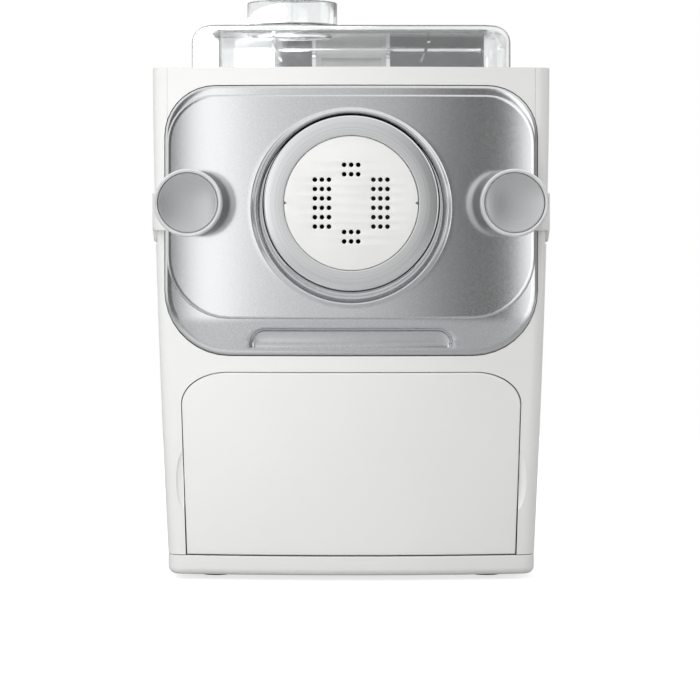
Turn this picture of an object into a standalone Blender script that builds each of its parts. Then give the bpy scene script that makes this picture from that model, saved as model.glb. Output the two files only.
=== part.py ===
"""Electric pasta maker: a tapered white body with a silver front panel, an extruder, a clear lid,
a storage drawer and two lock arms with round knobs.

Metres, +Z up. The origin lies on the floor under the middle of the machine. The front faces -Y.
"""
import math

import bmesh
import bpy
from mathutils import Vector

# Clearances
SEAT_GAP = 0.0003
SEAM_GAP = 0.0004
OVERRUN = 0.01
MERGE_DISTANCE = 0.000001

# Body
OVERALL_LENGTH = 0.399
BODY_WIDTH = 0.2226
BODY_TOP = 0.2858
BODY_TAPER = 0.0089
TAPER_POWER = 1.6
BODY_WALL = 0.003
FRONT_CORNER = 0.0085
REAR_CORNER = 0.028
FRONT_BOW = 0.010
KNOB_REACH = 0.0275
BASE_SEAM = 0.0142
BASE_BOTTOM = 0.003
BASE_INSET = 0.004
REAR_COVER_DEPTH = 0.045

FRONT_Y = -OVERALL_LENGTH / 2 + KNOB_REACH
REAR_Y = OVERALL_LENGTH / 2
HALF_BODY = BODY_WIDTH / 2
REAR_SEAM_Y = REAR_Y - REAR_COVER_DEPTH

# Front panel
PANEL_SIDE_MARGIN = 0.0074
PANEL_TOP_DROP = 0.0104
PANEL_TOP_RADIUS = 0.028
PANEL_BOTTOM_RADIUS = 0.036
PANEL_THICKNESS = 0.010
PANEL_PROUD = 0.0015
CHIN_HEIGHT = 0.0203
FACE_MARGIN = 0.0012
FACE_TOP_MARGIN = 0.0052
FACE_THICKNESS = 0.0018
GRIP_WIDTH = 0.114
GRIP_HEIGHT = 0.0112
GRIP_DEPTH = 0.007
GRIP_RADIUS = 0.009
GRIP_RISE = 0.0044
RING_DIAMETER = 0.0972
DISH_MARGIN = 0.0079
DISH_TOP_MARGIN = 0.0062
DISH_BOTTOM_MARGIN = 0.0053
DISH_SLOPE = 0.004
DISH_DROP = 0.0025
DISH_DEPTH = 0.0044

PANEL_WIDTH = BODY_WIDTH - 2 * PANEL_SIDE_MARGIN
DISH_DIAMETER = RING_DIAMETER + 2 * DISH_MARGIN
PANEL_HEIGHT = FACE_TOP_MARGIN + DISH_TOP_MARGIN + DISH_DIAMETER + DISH_BOTTOM_MARGIN + CHIN_HEIGHT
PANEL_TOP = BODY_TOP - PANEL_TOP_DROP
AXIS_Z = PANEL_TOP - FACE_TOP_MARGIN - DISH_TOP_MARGIN - DISH_DIAMETER / 2 + DISH_DROP
PANEL_BOTTOM = PANEL_TOP - PANEL_HEIGHT
HALF_PANEL = PANEL_WIDTH / 2
PANEL_FRONT_Y = FRONT_Y - PANEL_PROUD
PANEL_BACK_Y = PANEL_FRONT_Y + PANEL_THICKNESS
FACE_FRONT_Y = PANEL_FRONT_Y - FACE_THICKNESS - SEAT_GAP
CREASE_Z = PANEL_BOTTOM + CHIN_HEIGHT

# Extruder
RING_DEPTH = 0.015
RING_PROUD = 0.0022
RING_LIP = 0.004
RING_CHAMFER = 0.001
DISC_DIAMETER = 0.0744
DISC_THICKNESS = 0.004
DISC_FLANGE = 0.005
OUTLET_DIAMETER = 0.0026
OUTLET_PITCH = 0.0039
OUTLET_ROW_PITCH = 0.0052
OUTLET_COLUMN_COUNT = 3
SIDE_ROW_COUNT = 6
SIDE_GROUP_REACH = 0.0162
MIDDLE_ROW_COUNT = 2
MIDDLE_GROUP_REACH = 0.0186
TUBE_BORE = 0.052
TUBE_WALL = 0.004
TUBE_FLANGE = 0.006
SCREW_CORE = 0.022
SCREW_PITCH = 0.025
SCREW_LAND = 0.0045
SCREW_SOCKET = 0.012
SCREW_INSET = 0.003
SCREW_OVERHANG = 0.015
SCREW_SIDES = 12
SCREW_STATIONS = 12
RUNNING_GAP = 0.0005
SHAFT_DIAMETER = 0.012
SHAFT_SEAL_WALL = 0.004
SEAL_THICKNESS = 0.002
SEAL_LENGTH = 0.007
DISC_SETBACK = 0.0008

RING_RADIUS = RING_DIAMETER / 2
DISC_RADIUS = DISC_DIAMETER / 2
TUBE_RADIUS = TUBE_BORE / 2 + TUBE_WALL
RING_FRONT_Y = FACE_FRONT_Y - RING_PROUD
DISC_BACK_Y = RING_FRONT_Y + RING_LIP + SEAT_GAP + DISC_THICKNESS
TUBE_FRONT_Y = DISC_BACK_Y + SEAT_GAP
SHAFT_BORE = SHAFT_DIAMETER / 2 + SEAT_GAP
SHAFT_SEAL_RADIUS = SHAFT_BORE + SHAFT_SEAL_WALL

# Mixing chamber, in the body's own axes
CHAMBER_FRONT_SETBACK = 0.057
DRIVE_BAY_LENGTH = 0.1425
CHAMBER_WALL = 0.0025
CHAMBER_SIDE_MARGIN = 0.0283
CHAMBER_TROUGH_RADIUS = 0.048
CHAMBER_RIM = 0.004
CHAMBER_RIM_THICKNESS = 0.0025
SHOULDER_SHARE = 0.62
TROUGH_END_DEG = 10
PADDLE_HUB = 0.020
PADDLE_ROD = 0.006
PADDLE_GAP = 0.002
PADDLE_REAR_MARGIN = 0.010

CHAMBER_FRONT_Y = FRONT_Y + CHAMBER_FRONT_SETBACK
CHAMBER_REAR_Y = REAR_Y - DRIVE_BAY_LENGTH
CHAMBER_LENGTH = CHAMBER_REAR_Y - CHAMBER_FRONT_Y
CHAMBER_TOP_WIDTH = BODY_WIDTH - 2 * CHAMBER_SIDE_MARGIN
SCREW_FRONT_Y = TUBE_FRONT_Y + SCREW_INSET
SCREW_REAR_Y = CHAMBER_FRONT_Y + SCREW_OVERHANG
PADDLE_REAR_Y = CHAMBER_REAR_Y - PADDLE_REAR_MARGIN

# Deck, lid and hinge
DECK_THICKNESS = 0.003
LID_SIDE_MARGIN = 0.009
LID_HEIGHT = 0.0268
LID_WALL = 0.0022
LID_MARGIN = 0.014
LID_CORNER = 0.018
LID_EDGE_RADIUS = 0.010
INLET_DIAMETER = 0.053
INLET_RISE = 0.0162
INLET_OFFSET = 0.0348
INLET_SETBACK = 0.056
BRACKET_WIDTH = 0.0456
BRACKET_EAR = 0.0038
BRACKET_DEPTH = 0.011
BRACKET_HEIGHT = 0.031
BRACKET_GAP = 0.003
HINGE_PIN_DIAMETER = 0.004
LID_EAR = 0.0042
INLET_WALL = 0.002
INLET_LEDGE = 0.003

LID_WIDTH = CHAMBER_TOP_WIDTH + 2 * LID_SIDE_MARGIN
DECK_UNDER = BODY_TOP - DECK_THICKNESS
LID_UNDER = BODY_TOP + SEAT_GAP
LID_TOP = LID_UNDER + LID_HEIGHT
LID_FRONT_Y = CHAMBER_FRONT_Y - LID_MARGIN
LID_REAR_Y = CHAMBER_REAR_Y + LID_MARGIN
INLET_Y = LID_FRONT_Y + INLET_SETBACK
BRACKET_Y = LID_REAR_Y + BRACKET_GAP + BRACKET_DEPTH / 2
HINGE_Z = BODY_TOP + BRACKET_HEIGHT - BRACKET_DEPTH / 2

# Drawer
DRAWER_GAP = 0.0096
DRAWER_SIDE_MARGIN = 0.0168
DRAWER_LEAN = 0.003
DRAWER_CORNER_WIDTH = 0.026
DRAWER_CORNER_HEIGHT = 0.018
DRAWER_FRONT_THICKNESS = 0.0038
TRAY_SIDE_MARGIN = 0.0293
TRAY_LENGTH = 0.150
TRAY_TOP_DROP = 0.0313
TRAY_WALL = 0.002
RUNNER_WIDTH = 0.004
RUNNER_LIP = 0.003
SCOOP_HEIGHT = 0.0327
SCOOP_WIDTH = 0.0050
SCOOP_DEPTH = 0.0020
SCOOP_RISE = 0.0395

DRAWER_TOP = PANEL_BOTTOM - DRAWER_GAP
DRAWER_FLOOR = BASE_SEAM + SEAT_GAP
DRAWER_WIDTH = BODY_WIDTH - 2 * DRAWER_SIDE_MARGIN
DRAWER_FOOT_WIDTH = DRAWER_WIDTH - 2 * DRAWER_LEAN
TRAY_WIDTH = BODY_WIDTH - 2 * TRAY_SIDE_MARGIN
TRAY_HEIGHT = DRAWER_TOP - TRAY_TOP_DROP - DRAWER_FLOOR

# Lock arms and knobs
KNOB_DIAMETER = 0.0372
KNOB_INSET = 0.0221
KNOB_HEAD = 0.013
KNOB_NECK_DIAMETER = 0.020
KNOB_RIM = 0.0022
KNOB_CAP_THICKNESS = 0.0028
KNOB_DISH = 0.0009
KNOB_DISH_SHARE = 2 / 3
KNOB_STUD_DIAMETER = 0.006
ARM_HEIGHT = 0.028
ARM_DROP = 0.008
ARM_THICKNESS = 0.0024
ARM_SINK = 0.001
ARM_LENGTH = 0.092
ARM_CLEARANCE = 0.0005
ARM_PIN_DIAMETER = 0.004
ARM_BARREL_WALL = 0.002
ARM_LUG = 0.003
ARM_BLOCK_SPINE = 0.004
ARM_TIP = 0.011
ARM_TIP_HEIGHT = 0.017
ARM_BOSS_RISE = 0.0012

KNOB_X = HALF_BODY - KNOB_INSET
KNOB_RADIUS = KNOB_DIAMETER / 2
KNOB_FRONT_Y = FRONT_Y - KNOB_REACH
KNOB_STUD_SETBACK = KNOB_CAP_THICKNESS + KNOB_HEAD / 2
ARM_TOP_Z = AXIS_Z - ARM_DROP + ARM_HEIGHT / 2
ARM_BOTTOM_Z = ARM_TOP_Z - ARM_HEIGHT
ARM_PIVOT_Y = FRONT_Y + ARM_LENGTH
ARM_BARREL_RADIUS = ARM_PIN_DIAMETER / 2 + ARM_BARREL_WALL
ARM_TIP_Y = FRONT_Y + FRONT_BOW * ((KNOB_X - ARM_TIP) / HALF_BODY) ** 2
ARM_FRONT_Y = ARM_TIP_Y - PANEL_PROUD - FACE_THICKNESS - SEAT_GAP - ARM_CLEARANCE

# Gears
GEAR_MODULE = 0.0015
OUTPUT_TEETH = 56
SMALL_TEETH = 14
LARGE_TEETH = 48
PINION_TEETH = 12
GEAR_WIDTH = 0.008
GEAR_SPACE = 0.004
TOOTH_ROOT_SHARE = 0.56
TOOTH_TIP_SHARE = 0.24
ADDENDUM_SHARE = 0.85
DEDENDUM_SHARE = 1.2
MESH_GAP = 0.0003
IDLER_PIN_DIAMETER = 0.008
MOTOR_SHAFT_DIAMETER = 0.006
MOTOR_SHAFT_BORE = MOTOR_SHAFT_DIAMETER / 2 + SEAT_GAP

# Gearbox and motor
BOX_PLATE = 0.003
BOX_WALL = 0.003
BOX_MARGIN = 0.005
CHASSIS_PLATE = 0.003
CHASSIS_FOOT = 0.040
BOX_SETBACK = 0.012
BUSH_WALL = 0.003
BUSH_FLANGE = 0.002
MOTOR_DIAMETER = 0.070
MOTOR_LENGTH = 0.056
MOTOR_WALL = 0.002
STATOR_WALL = 0.009
ROTOR_DIAMETER = 0.042
ROTOR_LENGTH = 0.036
FAN_DIAMETER = 0.056
FAN_DEPTH = 0.008
FAN_BLADES = 7
FAN_BLADE_SHARE = 0.16
FAN_HUB_WALL = 0.004
FAN_GAP = 0.0035

IDLER_Z = AXIS_Z - GEAR_MODULE * (OUTPUT_TEETH + SMALL_TEETH) / 2 - MESH_GAP
MOTOR_Z = IDLER_Z - GEAR_MODULE * (LARGE_TEETH + PINION_TEETH) / 2 - MESH_GAP
BOX_FRONT_Y = CHAMBER_REAR_Y + BOX_SETBACK
STAGE_TWO_Y = BOX_FRONT_Y + BOX_PLATE + GEAR_SPACE
STAGE_ONE_Y = STAGE_TWO_Y + GEAR_WIDTH + GEAR_SPACE
BOX_REAR_Y = STAGE_ONE_Y + GEAR_WIDTH + GEAR_SPACE + BOX_WALL
CHASSIS_Y = BOX_REAR_Y + SEAT_GAP
MOTOR_FRONT_Y = CHASSIS_Y + CHASSIS_PLATE + SEAT_GAP
MOTOR_REAR_Y = MOTOR_FRONT_Y + MOTOR_LENGTH
FLOOR_TOP = BASE_BOTTOM + BODY_WALL

# Control panel
CONTROL_WIDTH = 0.132
CONTROL_LENGTH = 0.062
CONTROL_THICKNESS = 0.003
CONTROL_CORNER = 0.008
CONTROL_REAR_MARGIN = 0.022
DISPLAY_WIDTH = 0.044
DISPLAY_LENGTH = 0.020
DISPLAY_RISE = 0.0012
DISPLAY_OFFSET = 0.011
BUTTON_DIAMETER = 0.013
BUTTON_TRAVEL = 0.001
BUTTON_RISE = 0.0014
BUTTON_STEM = 0.006
BUTTON_PITCH = 0.0225
BUTTON_ROW_OFFSET = 0.015
START_DIAMETER = 0.018
START_OFFSET = 0.047
BOARD_THICKNESS = 0.0016
BOARD_DROP = 0.010
BOARD_MARGIN = 0.010
BOSS_DIAMETER = 0.006

CONTROL_TOP = BODY_TOP + SEAT_GAP + CONTROL_THICKNESS
BOARD_TOP = DECK_UNDER - BOARD_DROP
CONTROL_Y = REAR_Y - CONTROL_REAR_MARGIN - CONTROL_LENGTH / 2

# Rear, base and feet
INLET_SOCKET_WIDTH = 0.030
INLET_SOCKET_HEIGHT = 0.022
INLET_SOCKET_DEPTH = 0.020
INLET_SOCKET_WALL = 0.003
INLET_SOCKET_SIDE_MARGIN = 0.0493
INLET_SOCKET_RISE = 0.034
CONTACT_WIDTH = 0.002
CONTACT_HEIGHT = 0.004
CONTACT_LENGTH = 0.010
CONTACT_PITCH = 0.007
VENT_LENGTH = 0.050
VENT_HEIGHT = 0.0032
VENT_PITCH = 0.009
VENT_COUNT = 7
VENT_RISE = 0.080
FOOT_DIAMETER = 0.018
FOOT_SIDE_MARGIN = 0.026
FOOT_END_MARGIN = 0.036

INLET_SOCKET_OFFSET = HALF_BODY - INLET_SOCKET_SIDE_MARGIN

# Bulkhead behind the front panel
BULKHEAD_THICKNESS = 0.003
BULKHEAD_MARGIN = 0.004

# Counts of facets
ROUND_STEPS = 32
SMALL_STEPS = 12
CORNER_POINTS = 4
BOW_COLUMNS = 12
BODY_LEVELS = 6
OUTLET_STEPS = 6
PIN_STEPS = 10

DISPLAY_GAMMA = 2.2
PART_COLLECTION = "electric_pasta_maker"
CUTTER_COLLECTION = "cutters"


def start_scene():
    for item in list(bpy.data.objects):
        bpy.data.objects.remove(item, do_unlink=True)
    for name in (PART_COLLECTION, CUTTER_COLLECTION):
        group = bpy.data.collections.new(name)
        bpy.context.scene.collection.children.link(group)


def finish(name, colour, roughness, metallic=0.0, alpha=1.0):
    """One Principled material for one kind of surface, colour given as sRGB shares."""
    known = bpy.data.materials.get(name)
    if known:
        return known
    made = bpy.data.materials.new(name)
    made.use_nodes = True
    shader = made.node_tree.nodes["Principled BSDF"]
    linear = [channel ** DISPLAY_GAMMA for channel in colour]
    shader.inputs["Base Color"].default_value = (*linear, 1.0)
    shader.inputs["Roughness"].default_value = roughness
    shader.inputs["Metallic"].default_value = metallic
    shader.inputs["Alpha"].default_value = alpha
    made.diffuse_color = (*linear, alpha)
    return made


def white():
    return finish("white_gloss_plastic", (0.93, 0.94, 0.95), 0.25)


def grey_plastic():
    return finish("grey_plastic", (0.55, 0.56, 0.58), 0.5)


def silver():
    return finish("silver_satin_paint", (0.72, 0.73, 0.74), 0.35, 0.85)


def silver_rim():
    return finish("pale_silver", (0.86, 0.87, 0.88), 0.3, 0.6)


def knob_grey():
    return finish("satin_grey_metal", (0.66, 0.66, 0.67), 0.35, 0.8)


def steel():
    return finish("steel", (0.62, 0.62, 0.63), 0.3, 1.0)


def brass():
    return finish("sintered_bronze", (0.72, 0.58, 0.35), 0.45, 1.0)


def clear():
    return finish("clear_plastic", (0.95, 0.96, 0.97), 0.05, 0.0, 0.3)


def dark():
    return finish("dark_plastic", (0.08, 0.08, 0.09), 0.35)


def rubber():
    return finish("grey_rubber", (0.35, 0.35, 0.36), 0.8)


def board_green():
    return finish("circuit_board_green", (0.10, 0.32, 0.18), 0.5)


def add_object(name, data, material, place=(0, 0, 0)):
    made = bpy.data.objects.new(name, data)
    made.location = place
    if material:
        made.data.materials.append(material)
    bpy.data.collections[PART_COLLECTION].objects.link(made)
    return made


def mesh_from(name, work):
    bmesh.ops.recalc_face_normals(work, faces=work.faces)
    data = bpy.data.meshes.new(name)
    work.to_mesh(data)
    work.free()
    return data


def smooth(made, limit_deg=35):
    made.data.shade_smooth()
    made.data.set_sharp_from_angle(angle=math.radians(limit_deg))
    return made


def box(name, low, high, material):
    """A block between two corners, with its origin at its middle."""
    low = Vector(low)
    high = Vector(high)
    work = bmesh.new()
    bmesh.ops.create_cube(work, size=1.0)
    bmesh.ops.scale(work, vec=high - low, verts=work.verts)
    return add_object(name, mesh_from(name, work), material, (low + high) / 2)


def rod(name, centre, radius, length, axis, material, steps=SMALL_STEPS):
    """A cylinder about X, Y or Z with its origin at its middle."""
    work = bmesh.new()
    bmesh.ops.create_cone(work, cap_ends=True, segments=steps, radius1=radius, radius2=radius,
                          depth=length)
    made = add_object(name, mesh_from(name, work), material, centre)
    turns = {"X": (0, math.radians(90), 0), "Y": (math.radians(90), 0, 0), "Z": (0, 0, 0)}
    made.rotation_euler = turns[axis]
    return smooth(made)


def turned(name, profile, place, axis, material, steps=ROUND_STEPS, closed=False):
    """A profile of (radius, height) points, top of the outer side first, screwed about its axis."""
    data = bpy.data.meshes.new(name)
    points = [(radius, 0, height) for radius, height in profile]
    edges = [(index, index + 1) for index in range(len(points) - 1)]
    if closed:
        edges.append((len(points) - 1, 0))
    data.from_pydata(points, edges, [])
    made = add_object(name, data, material, place)
    turns = {"Y": (math.radians(90), 0, 0), "Z": (0, 0, 0)}
    made.rotation_euler = turns[axis]
    lathe = made.modifiers.new("lathe", "SCREW")
    lathe.steps = steps
    lathe.render_steps = steps
    lathe.use_merge_vertices = True
    lathe.merge_threshold = MERGE_DISTANCE
    lathe.use_smooth_shade = True
    return made


def prism(name, loops, start, depth, axis, material):
    """Flat outlines, holes included, extruded along +X, +Y or +Z from a start."""
    curve = bpy.data.curves.new(name, "CURVE")
    curve.dimensions = "2D"
    curve.fill_mode = "BOTH"
    curve.extrude = depth / 2
    for loop in loops:
        spline = curve.splines.new("POLY")
        spline.points.add(len(loop) - 1)
        for point, (first, second) in zip(spline.points, loop):
            point.co = (first, second, 0, 1)
        spline.use_cyclic_u = True
    drawn = bpy.data.objects.new(name + "_outline", curve)
    bpy.data.collections[PART_COLLECTION].objects.link(drawn)
    if axis == "Y":
        drawn.rotation_euler = (math.radians(90), 0, 0)
        drawn.location = (0, start + depth / 2, 0)
    elif axis == "X":
        drawn.rotation_euler = (math.radians(90), 0, math.radians(90))
        drawn.location = (start + depth / 2, 0, 0)
    else:
        drawn.location = (0, 0, start + depth / 2)
    return solid_from_curve(drawn, name, material)


def solid_from_curve(drawn, name, material):
    bpy.context.view_layer.update()
    graph = bpy.context.evaluated_depsgraph_get()
    data = bpy.data.meshes.new_from_object(drawn.evaluated_get(graph))
    data.name = name
    work = bmesh.new()
    work.from_mesh(data)
    bmesh.ops.remove_doubles(work, verts=work.verts, dist=MERGE_DISTANCE)
    bmesh.ops.recalc_face_normals(work, faces=work.faces)
    work.to_mesh(data)
    work.free()
    data.materials.clear()
    made = add_object(name, data, material)
    made.matrix_world = drawn.matrix_world.copy()
    bpy.data.objects.remove(drawn, do_unlink=True)
    return made


def combine(target, tool, operation):
    """A Boolean step. The tool stays in the scene as a hidden guide."""
    step = target.modifiers.new(operation.lower(), "BOOLEAN")
    step.operation = operation
    step.object = tool
    step.solver = "EXACT"
    tool.hide_render = True
    tool.display_type = "WIRE"
    for group in list(tool.users_collection):
        group.objects.unlink(tool)
    bpy.data.collections[CUTTER_COLLECTION].objects.link(tool)
    return target


def cut(target, tool):
    return combine(target, tool, "DIFFERENCE")


def join(target, tool):
    return combine(target, tool, "UNION")


def half_width(height):
    """Half of the body's width at a height: the sides draw in along a soft curve to the base."""
    share = max(BODY_TOP - height, 0) / (BODY_TOP - BASE_SEAM)
    return HALF_BODY - BODY_TAPER * share ** TAPER_POWER


def bow_y(across):
    """The front's bowed surface: its Y at a distance across from the middle."""
    return FRONT_Y + FRONT_BOW * (across / HALF_BODY) ** 2


def arc(centre_x, centre_y, radius_x, radius_y, start_deg, end_deg, count=CORNER_POINTS):
    points = []
    for index in range(count + 1):
        angle = math.radians(start_deg + (end_deg - start_deg) * index / count)
        points.append((centre_x + radius_x * math.cos(angle), centre_y + radius_y * math.sin(angle)))
    return points


def front_corner(height):
    """Centre and lean of the body's front corner at a height."""
    centre_x = half_width(height) - FRONT_CORNER
    lean = math.atan(2 * FRONT_BOW * centre_x / HALF_BODY ** 2)
    centre_y = bow_y(centre_x + FRONT_CORNER * math.sin(lean)) + FRONT_CORNER * math.cos(lean)
    return centre_x, centre_y, lean


def front_half(height, inset, end_y):
    """Plan points of the right half, from the middle of the front to the side at end_y."""
    centre_x, centre_y, lean = front_corner(height)
    radius = FRONT_CORNER - inset
    columns = BOW_COLUMNS // 2
    last_x = centre_x + radius * math.sin(lean)
    points = [(last_x * index / columns, bow_y(last_x * index / columns) + inset)
              for index in range(columns)]
    points += arc(centre_x, centre_y, radius, radius, math.degrees(lean) - 90, 0)
    points.append((half_width(height) - inset, end_y))
    return points


def rear_half(height, inset, start_y):
    """Plan points of the right half, from the side at start_y to the middle of the rear."""
    edge = half_width(height) - inset
    radius = REAR_CORNER - inset
    points = [(edge, start_y)]
    points += arc(edge - radius, REAR_Y - REAR_CORNER, radius, radius, 0, 90)
    points.append((0, REAR_Y - inset))
    return points


def mirrored(half):
    """A path from its mirrored far end through the middle to its own far end."""
    return [(-x, y) for x, y in reversed(half[1:])] + half


def body_ring(height, inset):
    """The whole closed plan of the body at a height."""
    half = front_half(height, inset, REAR_SEAM_Y)
    half += rear_half(height, inset, REAR_SEAM_Y)[1:]
    return [(-x, y) for x, y in reversed(half[1:-1])] + half


def level_heights(low, high, count=BODY_LEVELS):
    return [low + (high - low) * index / count for index in range(count + 1)]


def loft(name, rings, material, closed=False, floor=False, roof=False):
    """Faces between rings of 3-D points, each a section of unlike size."""
    work = bmesh.new()
    rows = [[work.verts.new(point) for point in ring] for ring in rings]
    for lower, upper in zip(rows, rows[1:]):
        count = len(lower)
        for index in range(count if closed else count - 1):
            other = (index + 1) % count
            work.faces.new((lower[index], lower[other], upper[other], upper[index]))
    if floor:
        work.faces.new(list(reversed(rows[0])))
    if roof:
        work.faces.new(rows[-1])
    data = bpy.data.meshes.new(name)
    work.to_mesh(data)
    work.free()
    return smooth(add_object(name, data, material))


def thicken(made, wall):
    shell = made.modifiers.new("wall", "SOLIDIFY")
    shell.thickness = wall
    shell.offset = -1
    shell.use_even_offset = True
    return made


def rounded_outline(half_x, low, high, low_radius, high_radius, low_half_x=None):
    """A symmetric outline with rounded corners; it may be narrower at its foot."""
    foot = half_x if low_half_x is None else low_half_x
    right = []
    if low_radius > 0:
        right += arc(foot - low_radius, low + low_radius, low_radius, low_radius, -90, 0)
    else:
        right.append((foot, low))
    right += arc(half_x - high_radius, high - high_radius, high_radius, high_radius, 0, 90)
    return right + [(-x, y) for x, y in reversed(right)]


def panel_outline(grow):
    return rounded_outline(HALF_PANEL + grow, PANEL_BOTTOM - grow, PANEL_TOP + grow,
                           PANEL_BOTTOM_RADIUS + grow, PANEL_TOP_RADIUS + grow)


def drawer_outline(grow, foot):
    """The drawer front: its sides lean in to the base and its top corners are wide curves."""
    right = [(DRAWER_FOOT_WIDTH / 2 + grow, foot)]
    right += arc(DRAWER_WIDTH / 2 + grow - DRAWER_CORNER_WIDTH,
                 DRAWER_TOP + grow - DRAWER_CORNER_HEIGHT,
                 DRAWER_CORNER_WIDTH, DRAWER_CORNER_HEIGHT, 0, 90, 2 * CORNER_POINTS)
    return right + [(-x, y) for x, y in reversed(right)]


def front_prism(name, outline):
    """A cutter along Y that goes through the bowed front and stops inside the body."""
    depth = OVERRUN + FRONT_BOW + BODY_WALL + OVERRUN
    return prism(name, [outline], FRONT_Y - OVERRUN, depth, "Y", None)


def bowed_plate(name, loops, lead, thickness, material):
    """A plate that follows the front's bow, lead ahead of the body's surface, in an outline."""
    across = [HALF_BODY * (2 * index / BOW_COLUMNS - 1) for index in range(BOW_COLUMNS + 1)]
    rings = [[(x, bow_y(x) - lead, height) for x in across]
             for height in (-OVERRUN, BODY_TOP + OVERRUN)]
    plate = loft(name, rings, material)
    slab = plate.modifiers.new("wall", "SOLIDIFY")
    slab.thickness = thickness
    slab.offset = -1
    depth = lead + thickness + FRONT_BOW + 2 * OVERRUN
    shape = prism(name + "_shape", loops, FRONT_Y - lead - OVERRUN, depth, "Y", None)
    return combine(plate, shape, "INTERSECT")


def side_sign(side):
    return 1 if side == "right" else -1


def sized_sphere(name, centre, radii):
    work = bmesh.new()
    bmesh.ops.create_uvsphere(work, u_segments=SMALL_STEPS, v_segments=SMALL_STEPS // 2, radius=1)
    bmesh.ops.scale(work, vec=Vector(radii), verts=work.verts)
    return add_object(name, mesh_from(name, work), None, centre)


ARM_REST_X = half_width(ARM_BOTTOM_Z) - ARM_SINK + ARM_CLEARANCE
ARM_OUTER_X = ARM_REST_X + ARM_THICKNESS
ARM_PIVOT_X = half_width(ARM_BOTTOM_Z) - BODY_WALL - ARM_BARREL_RADIUS - SEAT_GAP
SEAM_X = HALF_BODY - FRONT_CORNER


def cut_arm_slot(housing, side):
    """A shallow groove for the lock arm, and the window that its hinge end goes through."""
    sign = side_sign(side)
    low_z = ARM_BOTTOM_Z - ARM_CLEARANCE
    high_z = ARM_TOP_Z + ARM_CLEARANCE
    groove_x = sign * (ARM_REST_X - ARM_CLEARANCE)
    far_x = sign * (HALF_BODY + OVERRUN)
    groove = box("groove_" + side, (min(groove_x, far_x), FRONT_Y - OVERRUN, low_z),
                 (max(groove_x, far_x), ARM_PIVOT_Y, high_z), None)
    cut(housing, groove)
    sweep = ARM_OUTER_X - ARM_PIVOT_X + 2 * ARM_CLEARANCE
    inner_x = sign * ARM_PIVOT_X
    window = box("window_" + side,
                 (min(inner_x, far_x), ARM_PIVOT_Y - ARM_BARREL_RADIUS - ARM_CLEARANCE, low_z),
                 (max(inner_x, far_x), ARM_PIVOT_Y + sweep, high_z), None)
    cut(housing, window)


def make_housing():
    rings = [[(x, y, height) for x, y in mirrored(front_half(height, 0, REAR_SEAM_Y))]
             for height in level_heights(BASE_SEAM, BODY_TOP)]
    housing = thicken(loft("body_housing", rings, white()), BODY_WALL)
    cut(housing, front_prism("panel_notch", panel_outline(SEAM_GAP)))
    slot_low = PANEL_TOP - PANEL_TOP_RADIUS
    cut(housing, box("apron_slot", (-SEAM_X, FRONT_Y - OVERRUN, slot_low),
                     (SEAM_X, FRONT_Y + FRONT_BOW + BODY_WALL + OVERRUN, BODY_TOP + OVERRUN), None))
    cut(housing, front_prism("drawer_notch", drawer_outline(SEAM_GAP, BASE_SEAM - OVERRUN)))
    for side in ("left", "right"):
        edge = side_sign(side) * (DRAWER_FOOT_WIDTH + DRAWER_WIDTH) / 4
        cut(housing, sized_sphere("scoop_" + side,
                                  (edge, bow_y(edge), SCOOP_RISE + SCOOP_HEIGHT / 2),
                                  (SCOOP_WIDTH, SCOOP_DEPTH, SCOOP_HEIGHT / 2)))
        cut_arm_slot(housing, side)
    return housing


def make_rear_cover():
    rings = []
    for height in level_heights(BASE_SEAM, BODY_TOP):
        half = rear_half(height, 0, REAR_SEAM_Y + SEAM_GAP)
        path = half + [(-x, y) for x, y in reversed(half[:-1])]
        rings.append([(x, y, height) for x, y in path])
    cover = thicken(loft("rear_cover", rings, white()), BODY_WALL)
    for index in range(VENT_COUNT):
        height = VENT_RISE + index * VENT_PITCH
        cut(cover, box("vent_" + str(index),
                       (-VENT_LENGTH / 2, REAR_Y - BODY_WALL - OVERRUN, height),
                       (VENT_LENGTH / 2, REAR_Y + OVERRUN, height + VENT_HEIGHT), None))
    half_hole = INLET_SOCKET_WIDTH / 2 + SEAT_GAP
    hole_low = INLET_SOCKET_RISE - SEAT_GAP
    hole_high = INLET_SOCKET_RISE + INLET_SOCKET_HEIGHT + SEAT_GAP
    cut(cover, box("socket_hole",
                   (INLET_SOCKET_OFFSET - half_hole, REAR_Y - BODY_WALL - OVERRUN, hole_low),
                   (INLET_SOCKET_OFFSET + half_hole, REAR_Y + OVERRUN, hole_high), None))
    return cover


def make_base():
    """A shallow pan under the body, its lower edge rounded in."""
    rings = []
    top = BASE_SEAM - SEAM_GAP
    for step in range(CORNER_POINTS):
        angle = math.radians(90 * step / (CORNER_POINTS - 1))
        inset = BASE_INSET * (1 - math.sin(angle))
        height = BASE_BOTTOM + BASE_INSET * (1 - math.cos(angle))
        rings.append([(x, y, height) for x, y in body_ring(BASE_SEAM, inset)])
    rings.append([(x, y, top) for x, y in body_ring(BASE_SEAM, 0)])
    return thicken(loft("base_tray", rings, white(), closed=True, floor=True), BODY_WALL)


def make_feet():
    reach_x = half_width(BASE_SEAM) - FOOT_SIDE_MARGIN
    places = {"front_left": (-reach_x, FRONT_Y + FOOT_END_MARGIN),
              "front_right": (reach_x, FRONT_Y + FOOT_END_MARGIN),
              "rear_left": (-reach_x, REAR_Y - FOOT_END_MARGIN),
              "rear_right": (reach_x, REAR_Y - FOOT_END_MARGIN)}
    height = BASE_BOTTOM - SEAT_GAP
    for place, (x, y) in places.items():
        rod("foot_" + place, (x, y, height / 2), FOOT_DIAMETER / 2, height, "Z", rubber(),
            2 * SMALL_STEPS)


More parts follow.
